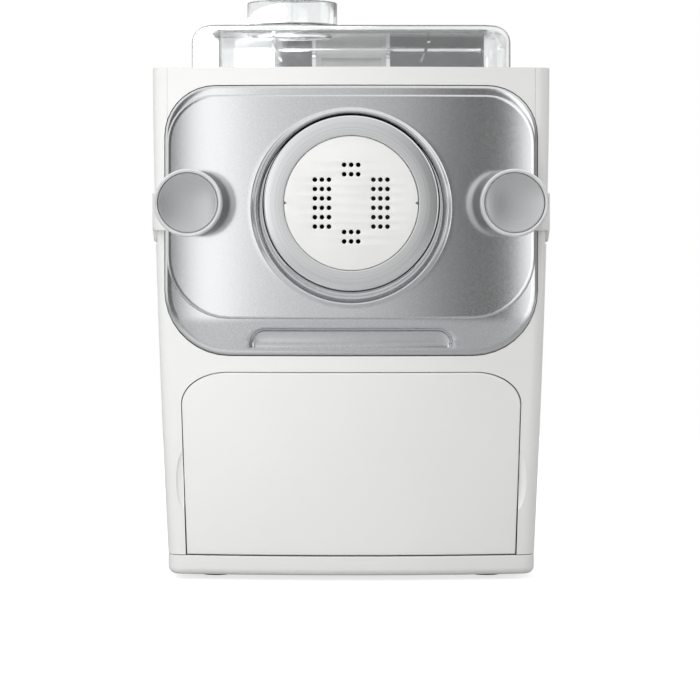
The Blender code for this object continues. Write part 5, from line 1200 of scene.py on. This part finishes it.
tree.links.new(relief.outputs[0], shader.inputs["Normal"])


def arm_stations(side):
    """Plan points and outward directions along the arm's inner face, tip first, with its low edge."""
    centre_x, centre_y, _ = front_corner(ARM_LOW)
    reach = (ARM_REST_X - centre_x, centre_y - ARM_FRONT_Y)
    tip_x = KNOB_X - ARM_TIP_INSET
    stations = [(tip_x + (centre_x - tip_x) * n / 6, ARM_FRONT_Y, 0, -1) for n in range(6)]
    for x, y in arc(centre_x, centre_y, *reach, -90, 0, 14):
        away = Vector(((x - centre_x) / reach[0] ** 2, (y - centre_y) / reach[1] ** 2)).normalized()
        stations.append((x, y, away.x, away.y))
    end_y = ARM_PIVOT[1] + ARM_BARREL
    last_y = stations[-1][1]
    stations += [(ARM_REST_X, last_y + (end_y - last_y) * share, 1, 0)
                 for share in (0.02, 0.05, 0.09, 0.14, 0.3, 0.6, 1.0)]
    low_tip = AXIS_Z - ARM_TIP_HALF
    made = []
    for x, y, out_x, out_y in stations:
        if x <= KNOB_X:
            low = low_tip
        elif x < centre_x + reach[0] * 0.98:
            share = min(1.0, (x - KNOB_X) / (centre_x - KNOB_X))
            low = low_tip + (ARM_FOLD_Z - low_tip) * share
        else:
            share = min(1.0, max(0.0, (y - centre_y) / 0.012))
            low = ARM_FOLD_Z + (ARM_LOW - ARM_FOLD_Z) * share
        made.append((side * x, y, side * out_x, out_y, low))
    return made


def arm_section(x, y, out_x, out_y, low):
    """The strap's rounded cross-section at one station."""
    edge = ARM_EDGE
    corners = [(0, low + edge), (edge, low), (ARM_THICKNESS - edge, low),
               (ARM_THICKNESS, low + edge), (ARM_THICKNESS, (low + ARM_HIGH) / 2),
               (ARM_THICKNESS, ARM_HIGH - edge), (ARM_THICKNESS - edge, ARM_HIGH),
               (edge, ARM_HIGH), (0, ARM_HIGH - edge), (0, (low + ARM_HIGH) / 2)]
    return [(x + out_x * out, y + out_y * out, z) for out, z in corners]


for side, word in ((-1, "left"), (1, "right")):
    rings = [arm_section(*station) for station in arm_stations(side)]
    arm = add_piece("lock_arm_strap_" + word, loft("lock_arm_strap", rings, floor=True, roof=True),
                    white_abs, "arm_" + word + "_body", "arm_silver", ["lock_arm_" + word])
    middle = side * ARM_PIVOT[0]
    web = sorted((middle, side * (ARM_REST_X + ARM_THICKNESS / 2)))
    web_half = ARM_THICKNESS / 2
    barrel_path = rounded_profile([(0.0023, ARM_LOW, 0.0002), (ARM_BARREL, ARM_LOW, 0.0004),
                                   (ARM_BARREL, ARM_HIGH, 0.0004), (0.0023, ARM_HIGH, 0.0002)])
    boss_path = rounded_profile([(0, 0, 0), (KNOB_NECK, 0, 0.0004), (KNOB_NECK, -0.0024, 0),
                                 (0, -0.0024, 0)])
    carve(arm, [block((web[0], ARM_PIVOT[1] - web_half, ARM_LOW),
                      (web[1], ARM_PIVOT[1] + web_half, ARM_HIGH))], "UNION")
    soften(arm, 0.0003, 2, 40)
    add_piece("lock_arm_barrel_" + word,
              lathe("barrel", barrel_path, (middle, ARM_PIVOT[1], 0), "Z", 40), white_abs,
              "arm_" + word + "_body", "arm_silver")
    add_piece("lock_arm_boss_" + word,
              lathe("boss", boss_path, (side * KNOB_X, KNOB_BACK_Y + 0.0003, AXIS_Z), "Y", 64),
              white_abs, "arm_" + word + "_body", "arm_silver")
    inner = KNOB_RADIUS - KNOB_RIM
    depth = KNOB_BACK_Y - KNOB_FRONT_Y
    path = rounded_profile([(inner + 0.0002, -0.0002, 0.0005), (KNOB_RADIUS, 0, 0.0011),
                            (KNOB_RADIUS, -KNOB_HEAD, 0.0011), (KNOB_NECK, -KNOB_HEAD, 0.0006),
                            (KNOB_NECK, -depth, 0.0003), (0.003, -depth, 0),
                            (0.003, -KNOB_CAP - 0.004, 0), (0, -KNOB_CAP - 0.004, 0),
                            (0, -KNOB_CAP - SEAT_GAP, 0), (inner, -KNOB_CAP - SEAT_GAP, 0)])
    knob = add_piece("knob_rim_" + word,
                     lathe("knob_rim", path, (side * KNOB_X, KNOB_FRONT_Y, AXIS_Z), "Y", 128),
                     blasted_aluminium, "knob_" + word + "_body", "knob_rim", ["knob_" + word])
    knob.data.set_sharp_from_angle(angle=math.radians(60))
    face = inner - SEAT_GAP / 2
    dish = [(face * share, -0.0009 - KNOB_DISH * (1 - share ** 2), 0)
            for share in (0, 0.2, 0.4, 0.6, 0.8, 0.93)]
    path = rounded_profile(dish + [(face, -0.0009, 0.0004), (face, -KNOB_CAP, 0),
                                   (0, -KNOB_CAP, 0)])
    cap = add_piece("knob_face_" + word,
                    lathe("knob_face", path, (side * KNOB_X, KNOB_FRONT_Y, AXIS_Z), "Y", 96),
                    spun_anodised, "knob_" + word + "_body", "knob_face", ["knob_cap_" + word])
    cap.data.set_sharp_from_angle(angle=math.radians(60))
    dress("arm_block_" + word, grey_nylon, 0.0005)

for word in ("left", "right"):
    dress("arm_pin_" + word, drawn_steel, 0.0002)

# ---------------------------------------------------------------------------------------------
# Lid and water inlet. Both are clear polycarbonate, injection moulded: a shallow cover with an
# inner skirt and two ribs, hinged at the rear, and a round inlet cup clicked into its top.
# ---------------------------------------------------------------------------------------------
LID_HALF = 0.092
LID_FRONT_Y = -0.129
LID_REAR_Y = 0.071
LID_LOW = 0.2861
LID_HIGH = 0.3129
LID_WALL = 0.0022
LID_CORNER = 0.018
LID_EDGE = 0.010
LID_SKIRT_X = 0.0755
LID_RIB_X = 0.0446
LID_RIB = 0.0018
LID_RIB_DROP = 0.0105
LID_RIB_FRONT_Y = LID_FRONT_Y + 0.012
LID_INNER_FRONT_Y = LID_FRONT_Y + 0.016
# Posts and rear wall of dark smoke-grey that stand under the lid as painted shade.
SHADE_POST_X = (0.0490, 0.0522)
SHADE_POST_HALF = 0.0004
SHADE_POST_DEPTH = 0.002
SHADE_BAFFLE_X = (0.0250, 0.0490)
SHADE_BAFFLE_SPAN = (0.0012, 0.0002)
INLET_MIDDLE = (-0.0348, -0.073)
INLET_RADIUS = 0.0265
INLET_RISE = 0.0162
INLET_WALL = 0.002
INLET_LEDGE = 0.003
HINGE_Y = 0.0795
HINGE_Z = 0.3113
HINGE_HALF = 0.0228
HINGE_RADIUS = 0.0055
HINGE_BORE = 0.0023
LID_EAR = 0.0042

# Clear moulded polycarbonate: faintly grey, almost mirror smooth, with hair-fine wipe scratches
# (0.05 mm, drawn at 0.6 mm) that catch a highlight here and there.
clear_polycarbonate, tree, shader = new_material("clear_polycarbonate", "#f5f7f7", 0.03, IOR=1.585,
                                                 Transmission_Weight=1.0)
place = add_node(tree, "ShaderNodeTexCoord")
wiped = add_node(tree, "ShaderNodeMapping", {"Scale": (1.0, 0.07, 1.0), "Rotation": (0, 0, 0.5)},
                 {"Vector": (place, "Object")})
scratches = add_node(tree, "ShaderNodeTexNoise", {"Scale": per_metre(0.6), "Detail": 3.0},
                     {"Vector": (wiped, 0)})
polish = add_node(tree, "ShaderNodeMapRange", {1: 0.45, 2: 0.75, 3: 0.015, 4: 0.07},
                  {0: (scratches, 0)})
tree.links.new(polish.outputs[0], shader.inputs["Roughness"])
waves = add_node(tree, "ShaderNodeTexNoise", {"Scale": per_metre(14)}, {"Vector": (place, "Object")})
tint = add_node(tree, "ShaderNodeValToRGB", links={0: (waves, 0)},
                stops=[(0.3, linear("#f2f4f4")), (0.7, linear("#f8f9f9"))])
tree.links.new(tint.outputs[0], shader.inputs["Base Color"])


def lid_ring(inset, height):
    """The lid's plan at an inset, with closely spaced points along its sides."""
    half = LID_HALF - inset
    radius = max(LID_CORNER - inset, 0.001)
    right = [(half * share, LID_FRONT_Y + inset) for share in (0, 0.25, 0.5)]
    right += arc(half - radius, LID_FRONT_Y + inset + radius, radius, radius, -90, 0)
    right += arc(half - radius, LID_REAR_Y - inset - radius, radius, radius, 0, 90)
    right += [(half * share, LID_REAR_Y - inset) for share in (0.5, 0.25, 0)]
    return [(x, y, height) for x, y in right + [(-x, y) for x, y in reversed(right[1:-1])]]


def lid_shell(inset, top, edge):
    """Rings of the lid's surface at an inset, from its open foot over the rounded edge."""
    rings = [lid_ring(inset, LID_LOW), lid_ring(inset, (LID_LOW + top) / 2)]
    for step in range(9):
        turn = math.radians(90 * step / 8)
        rings.append(lid_ring(inset + edge * (1 - math.cos(turn)),
                              top - edge * (1 - math.sin(turn))))
    return rings


def clear_to_soft_light(piece):
    """Lets the lamps through: a path tracer gives a clear wall an opaque wall's dark shadow."""
    piece.visible_shadow = False
    piece.visible_diffuse = False


def cross_pin_way():
    """A cutter for the hinge pin, which lies across the machine."""
    data = lathe("cutter", [(0, -0.05), (HINGE_BORE, -0.05), (HINGE_BORE, 0.05), (0, 0.05)],
                 (0, 0, 0), "Z", 32)
    for vertex in data.vertices:
        x, y, z = vertex.co
        vertex.co = (z, HINGE_Y + x, HINGE_Z + y)
    return add_piece("cutter", data, white_abs)


lid = add_piece("clear_lid", loft("clear_lid", lid_shell(0, LID_HIGH, LID_EDGE), floor=True,
                                  roof=True), clear_polycarbonate, "lid_body", "clear_plastic",
                ["lid"])
carve(lid, [lofted_tool([lid_ring(LID_WALL, LID_LOW - 0.005)]
                        + lid_shell(LID_WALL, LID_HIGH - LID_WALL, LID_EDGE - LID_WALL))])
ribs = [block((side * LID_RIB_X - LID_RIB / 2, LID_RIB_FRONT_Y, LID_HIGH - LID_RIB_DROP),
              (side * LID_RIB_X + LID_RIB / 2, LID_REAR_Y - 0.004, LID_HIGH - LID_WALL / 2))
        for side in (-1, 1)]
ribs.append(block((-LID_SKIRT_X, LID_RIB_FRONT_Y - LID_RIB / 2, LID_LOW),
                  (LID_SKIRT_X, LID_RIB_FRONT_Y + LID_RIB / 2, LID_HIGH - LID_WALL / 2)))
ear_low = HINGE_Z - HINGE_RADIUS
for side in (-1, 1):
    outline = arc(HINGE_Y, HINGE_Z, HINGE_RADIUS, HINGE_RADIUS, 90, -90, 16)
    outline += [(LID_REAR_Y - LID_WALL / 2, ear_low), (LID_REAR_Y - LID_WALL / 2, LID_HIGH - 0.005)]
    near = HINGE_HALF + SEAT_GAP
    ear_x = sorted((side * near, side * (near + LID_EAR)))
    ribs.append(lofted_tool([[(x, y, z) for y, z in outline] for x in ear_x]))
carve(lid, ribs, "UNION")
inlet_hole = lathe("cutter", [(0, LID_HIGH - 0.02), (INLET_RADIUS - INLET_LEDGE, LID_HIGH - 0.02),
                              (INLET_RADIUS - INLET_LEDGE, LID_HIGH + 0.02), (0, LID_HIGH + 0.02)],
                   (*INLET_MIDDLE, 0), "Z", 96)
carve(lid, [cross_pin_way(), add_piece("cutter", inlet_hole, white_abs)])
soften(lid, 0.0005, 2, 40)
clear_to_soft_light(lid)

# Painted shade under the lid's top: dark walls in the chamber's smoke-grey polycarbonate, one along
# each side of the mixing room, two posts behind it, and a thin wall across the rear beside them, put
# where the clear lid shows shade and reflection.
rear_inside = LID_REAR_Y - LID_WALL - SEAT_GAP
wall_top = LID_HIGH - LID_WALL - SEAT_GAP
for side, word in ((-1, "left"), (1, "right")):
    wall = block((side * LID_SKIRT_X - LID_RIB / 2, LID_INNER_FRONT_Y, LID_LOW),
                 (side * LID_SKIRT_X + LID_RIB / 2, rear_inside, wall_top))
    shade_posts = [block((side * x - SHADE_POST_HALF, rear_inside - SHADE_POST_DEPTH, LID_LOW),
                   (side * x + SHADE_POST_HALF, rear_inside, wall_top)) for x in SHADE_POST_X]
    # The wall across the rear is painted shade too; it reaches further on the right than on the left.
    shade_baffle = sorted((side * SHADE_BAFFLE_X[0], side * (SHADE_BAFFLE_X[1] if side < 0 else LID_SKIRT_X)))
    shade_posts.append(block((shade_baffle[0], rear_inside - SHADE_BAFFLE_SPAN[0], LID_LOW),
                       (shade_baffle[1], rear_inside - SHADE_BAFFLE_SPAN[1], wall_top)))
    carve(wall, shade_posts, "UNION")
    soften(add_piece("lid_painted_shade_walls_" + word, wall.data, smoke_polycarbonate, "lid_body",
                     "clear_plastic"), 0.0002, 2, 40)
    bpy.data.objects.remove(wall, do_unlink=True)

skirt_radius = INLET_RADIUS - INLET_LEDGE - SEAT_GAP
bore_radius = skirt_radius - INLET_WALL
foot = -LID_WALL - INLET_WALL
path = rounded_profile([(INLET_RADIUS, INLET_RISE, 0.0009), (INLET_RADIUS, SEAT_GAP, 0.0006),
                        (skirt_radius, SEAT_GAP, 0.0002), (skirt_radius, foot, 0.0004),
                        (bore_radius, foot, 0.0004), (bore_radius, SEAT_GAP + INLET_WALL, 0.0008),
                        (INLET_RADIUS - INLET_WALL, SEAT_GAP + INLET_WALL, 0.0012),
                        (INLET_RADIUS - INLET_WALL, INLET_RISE, 0.0009)])
inlet = add_piece("clear_water_inlet", lathe("inlet", path, (*INLET_MIDDLE, LID_HIGH), "Z", 128),
                  clear_polycarbonate, "lid_body", "clear_plastic", ["water_inlet"])
clear_to_soft_light(inlet)

# ---------------------------------------------------------------------------------------------
# Hinge bracket and pin. The bracket is white ABS, a bar on two legs with a recessed panel between
# them, screwed to the deck from below; a steel pin runs through it and the lid's ears.
# ---------------------------------------------------------------------------------------------
BRACKET_LOW = BODY_TOP + SEAT_GAP
BRACKET_LEG = 0.0036
BRACKET_BAR_LOW = 0.3055

outline = arc(HINGE_Y, HINGE_Z, HINGE_RADIUS, HINGE_RADIUS, 0, 180, 20)
outline += [(HINGE_Y - HINGE_RADIUS, BRACKET_LOW), (HINGE_Y + HINGE_RADIUS, BRACKET_LOW)]
bracket = add_piece("hinge_bracket_bar",
                    loft("bracket", [[(x, y, z) for y, z in outline]
                                     for x in (-HINGE_HALF, HINGE_HALF)], floor=True, roof=True),
                    white_abs, "machine", "body_white", ["hinge_bracket"])
recess_half = HINGE_HALF - BRACKET_LEG
carve(bracket, [block((-recess_half, HINGE_Y - HINGE_RADIUS - 0.01, BRACKET_LOW - 0.01),
                      (recess_half, HINGE_Y - HINGE_RADIUS / 2, BRACKET_BAR_LOW)),
                cross_pin_way()])
soften(bracket, 0.0006, 3, 35)
dress("hinge_pin", drawn_steel, 0.0003)

# ---------------------------------------------------------------------------------------------
# Control panel on the deck: a white ABS fascia with a dark display window let in flush, two large
# and two small soft grey buttons with plain signs, and the circuit board below the deck.
# ---------------------------------------------------------------------------------------------
CONTROL_HALF = (0.066, 0.031)
CONTROL_Y = 0.1465
CONTROL_TOP = 0.2891
CONTROL_CORNER = 0.008
CONTROL_EDGE = 0.0009
DISPLAY_HALF = (0.022, 0.010)
DISPLAY_Y = 0.1575
DISPLAY_SINK = 0.0012
BUTTON_TRAVEL = 0.001
BUTTON_RISE = 0.0014
BUTTON_STEM = 0.003
BOARD_TOP = 0.2728
BUTTONS = {"power_button": (-0.047, CONTROL_Y, 0.009), "start_button": (0.047, CONTROL_Y, 0.009),
           "mode_button": (-0.01125, 0.1315, 0.0065), "amount_button": (0.01125, 0.1315, 0.0065)}
SIGN_WIDTH = 0.0006

# Soft grey buttons: silicone over ABS, dull and slightly greasy to the eye.
soft_button_grey, tree, shader = new_material("soft_touch_button_grey", "#a9abae", 0.55)
place = mottle(tree, shader, 4, "#a3a5a8", "#b0b2b5", 0.5, 0.62)
fine_relief(tree, shader, place, 0.5, 0.02, 0.3)

# Dark display glass: acrylic, black behind and mirror smooth, with seven-segment bars asleep in it.
display_acrylic, tree, shader = new_material("black_display_acrylic", "#0b0c0e", 0.06, IOR=1.49)
place = add_node(tree, "ShaderNodeTexCoord")
bars = add_node(tree, "ShaderNodeTexBrick",
                {"Scale": per_metre(1.0), "Color1": linear("#101215"), "Color2": linear("#0e1012"),
                 "Mortar": linear("#090a0b"), "Mortar Size": 0.6, "Brick Width": 5.0,
                 "Row Height": 5.0}, {"Vector": (place, "Object")})
tree.links.new(bars.outputs[0], shader.inputs["Base Color"])
dust = add_node(tree, "ShaderNodeTexNoise", {"Scale": per_metre(3)}, {"Vector": (place, "Object")})
polish = add_node(tree, "ShaderNodeMapRange", {3: 0.04, 4: 0.11}, {0: (dust, 0)})
tree.links.new(polish.outputs[0], shader.inputs["Roughness"])

# Mid-grey ink of the buttons' signs, pad printed: flat, with slightly uneven cover.
sign_ink, tree, shader = new_material("grey_sign_ink", "#5b5d60", 0.6)
mottle(tree, shader, 1.5, "#55575a", "#636568", 0.55, 0.68)

plan = [(x, CONTROL_Y + y) for x, y in rounded_outline(CONTROL_HALF[0], -CONTROL_HALF[1],
                                                       CONTROL_HALF[1], CONTROL_CORNER,
                                                       CONTROL_CORNER)]
fascia = flat_plate("control_fascia_plate", plan, BODY_TOP + SEAT_GAP, CONTROL_TOP, white_abs,
                    "machine", "body_white", ["control_fascia"])
holes = [block((-DISPLAY_HALF[0] - SEAT_GAP, DISPLAY_Y - DISPLAY_HALF[1] - SEAT_GAP,
                CONTROL_TOP - DISPLAY_SINK),
               (DISPLAY_HALF[0] + SEAT_GAP, DISPLAY_Y + DISPLAY_HALF[1] + SEAT_GAP,
                CONTROL_TOP + 0.01))]
for x, y, radius in BUTTONS.values():
    well = radius + SEAT_GAP
    holes.append(add_piece("cutter", lathe("cutter", [(0, 0.27), (well, 0.27), (well, 0.30), (0, 0.30)],
                                           (x, y, 0), "Z", 64), white_abs))
carve(fascia, holes)
soften(fascia, CONTROL_EDGE / 2, 3, 35)

plan = [(x, DISPLAY_Y + y) for x, y in rounded_outline(DISPLAY_HALF[0], -DISPLAY_HALF[1],
                                                       DISPLAY_HALF[1], 0.0012, 0.0012)]
display = flat_plate("display_glass", plan, CONTROL_TOP - DISPLAY_SINK + SEAT_GAP,
                     CONTROL_TOP + SEAT_GAP, display_acrylic, "machine", "display",
                     ["display_window"])
soften(display, 0.0003, 2, 40)


def thick_line(name, points, width, height, closed, body):
    """A printed sign: a flat ribbon of ink that follows points on a button's top."""
    curve = bpy.data.curves.new(name, "CURVE")
    curve.dimensions = "3D"
    curve.bevel_mode = "ROUND"
    curve.bevel_depth = width / 2
    curve.bevel_resolution = 3
    spline = curve.splines.new("POLY")
    spline.points.add(len(points) - 1)
    for point, (x, y) in zip(spline.points, points):
        point.co = (x, y, height, 1)
    spline.use_cyclic_u = closed
    drawn = bpy.data.objects.new(name, curve)
    bpy.context.scene.collection.objects.link(drawn)
    bpy.context.view_layer.update()
    data = bpy.data.meshes.new_from_object(drawn)
    bpy.data.objects.remove(drawn, do_unlink=True)
    for vertex in data.vertices:
        vertex.co.z = height + (vertex.co.z - height) * 0.25
    data.shade_smooth()
    return add_piece(name, data, sign_ink, body, "button_grey")


for name, (x, y, radius) in BUTTONS.items():
    cap_low = BODY_TOP + SEAT_GAP + BUTTON_TRAVEL + SEAT_GAP
    top = CONTROL_TOP + BUTTON_RISE
    stem_low = BOARD_TOP + BUTTON_TRAVEL + SEAT_GAP
    crown = [(radius * share, top - 0.0005 * share ** 2, 0) for share in (0, 0.25, 0.5, 0.7)]
    path = rounded_profile(crown + [(radius - 0.0002, top - 0.0007, 0.0009),
                                    (radius - 0.0002, cap_low, 0.0002),
                                    (BUTTON_STEM, cap_low, 0), (BUTTON_STEM, stem_low, 0),
                                    (0, stem_low, 0)])
    button = add_piece(name + "_cap", lathe(name, path, (x, y, 0), "Z", 64), soft_button_grey,
                       name + "_body", "button_grey", [name])
    button.data.set_sharp_from_angle(angle=math.radians(60))
    ink = top - 0.00005
    reach = radius * 0.40
    body_name = name + "_body"
    if name == "power_button":
        thick_line("power_sign_ring", arc(x, y, reach, reach, -235, 55, 24), SIGN_WIDTH, ink, False,
                   body_name)
        thick_line("power_sign_bar", [(x, y + reach * 0.2), (x, y + reach * 1.25)], SIGN_WIDTH, ink,
                   False, body_name)
    elif name == "start_button":
        thick_line("start_sign", [(x - reach * 0.6, y - reach * 0.9), (x + reach, y),
                                  (x - reach * 0.6, y + reach * 0.9)], SIGN_WIDTH, ink, True,
                   body_name)
    elif name == "mode_button":
        for index in (-1, 0, 1):
            thick_line("mode_sign_" + str(index + 1),
                       [(x - reach, y + index * reach * 0.7), (x + reach, y + index * reach * 0.7)],
                       SIGN_WIDTH, ink, False, body_name)
    else:
        thick_line("amount_sign_across", [(x - reach, y), (x + reach, y)], SIGN_WIDTH, ink, False,
                   body_name)
        thick_line("amount_sign_up", [(x, y - reach), (x, y + reach)], SIGN_WIDTH, ink, False,
                   body_name)

# Green circuit board: glass epoxy under a solder mask, with copper tracks 1 mm apart under it.
green_board, tree, shader = new_material("green_glass_epoxy_board", "#1f5a38", 0.35, IOR=1.55)
place = add_node(tree, "ShaderNodeTexCoord")
tracks = add_node(tree, "ShaderNodeTexBrick",
                  {"Scale": per_metre(1.0), "Color1": linear("#1c5233"), "Color2": linear("#21603b"),
                   "Mortar": linear("#2f7a4a"), "Mortar Size": 0.15, "Brick Width": 6.0,
                   "Row Height": 1.6}, {"Vector": (place, "Object")})
tree.links.new(tracks.outputs[0], shader.inputs["Base Color"])
relief = add_node(tree, "ShaderNodeBump", {"Strength": 0.4, "Distance": 0.00004},
                  {"Height": (tracks, 1)})
tree.links.new(relief.outputs[0], shader.inputs["Normal"])
dress("circuit_board", green_board, 0.0002)

# ---------------------------------------------------------------------------------------------
# Storage drawer. Its bowed white ABS front stands flush in the shell with a thin seam all round;
# a thin-walled white tray is welded behind it and slides on two grey runners on the base.
# ---------------------------------------------------------------------------------------------
DRAWER_FOOT = 0.0145
DRAWER_THICKNESS = 0.0038
DRAWER_EDGE = 0.0008


def drawer_front_outline(grow):
    return drawer_outline(grow, DRAWER_FOOT - grow)


drawer_counts = stretch_counts(drawer_front_outline(0), OUTLINE_SPACING)
rings = rim_rings(drawer_front_outline, drawer_counts, 0, DRAWER_THICKNESS, DRAWER_EDGE)
outside = cut_stretches(drawer_front_outline(-DRAWER_EDGE), drawer_counts)
core = [(x * 0.02, (DRAWER_FOOT + DRAWER_HIGH) / 2 + (z - (DRAWER_FOOT + DRAWER_HIGH) / 2) * 0.02)
        for x, z in outside]
front_rings = [bowed(between(outside, core, share), 0)
               for share in (0.03, 0.1, 0.2, 0.32, 0.45, 0.6, 0.75, 0.9, 1.0)]
back_rings = [bowed(between(outside, core, share), -DRAWER_THICKNESS) for share in (1.0, 0.6, 0.3)]
data = loft("drawer", [back_rings[0], back_rings[1], back_rings[2]] + rings + front_rings,
            floor=True, roof=True)
drawer = add_piece("drawer_front_panel", data, white_abs, "drawer_body", "body_white",
                   ["drawer_front"])
drawer.data.shade_smooth()
drawer.data.set_sharp_from_angle(angle=math.radians(50))

# Thin white polypropylene: waxy, a little see-through at its edges, with soft flow marks of 12 mm.
white_polypropylene, tree, shader = new_material("white_polypropylene", "#ecedec", 0.42, IOR=1.49,
                                                 Subsurface_Weight=0.15, Subsurface_Scale=0.002)
place = mottle(tree, shader, 12, "#e8e9e8", "#f0f1f0", 0.38, 0.5)
fine_relief(tree, shader, place, 1.5, 0.02, 0.3)
dress("drawer_tray", white_polypropylene, 0.0006)
for word in ("left", "right"):
    dress("drawer_runner_" + word, grey_nylon, INNER_EDGE)

# ---------------------------------------------------------------------------------------------
# Mains inlet at the rear: a black moulded socket, sunk in the cover, with two plated contacts.
# ---------------------------------------------------------------------------------------------
CONTACT_HALF = (0.0011, 0.0021)
CONTACT_X = (0.0585, 0.0655)
CONTACT_Z = 0.045
CONTACT_Y = (0.1822, 0.1923)

# Nickel-plated brass: warm bright metal with small handling marks.
nickel_plate, tree, shader = new_material("nickel_plated_brass", "#cfc9b8", 0.22, 1.0)
mottle(tree, shader, 2, "#c6c0ae", "#d8d2c2", 0.18, 0.32)
dress("mains_inlet", black_abs, 0.0004)
for index, x in enumerate(CONTACT_X):
    plan = [(x + a * CONTACT_HALF[0], CONTACT_Z + b * CONTACT_HALF[1])
            for a, b in ((-1, -1), (1, -1), (1, 1), (-1, 1))]
    contact = add_piece("inlet_contact_" + str(index),
                        loft("contact", [[(u, y, w) for u, w in plan] for y in CONTACT_Y],
                             floor=True, roof=True), nickel_plate, "machine", "steel")
    soften(contact, 0.0004, 2, 40)
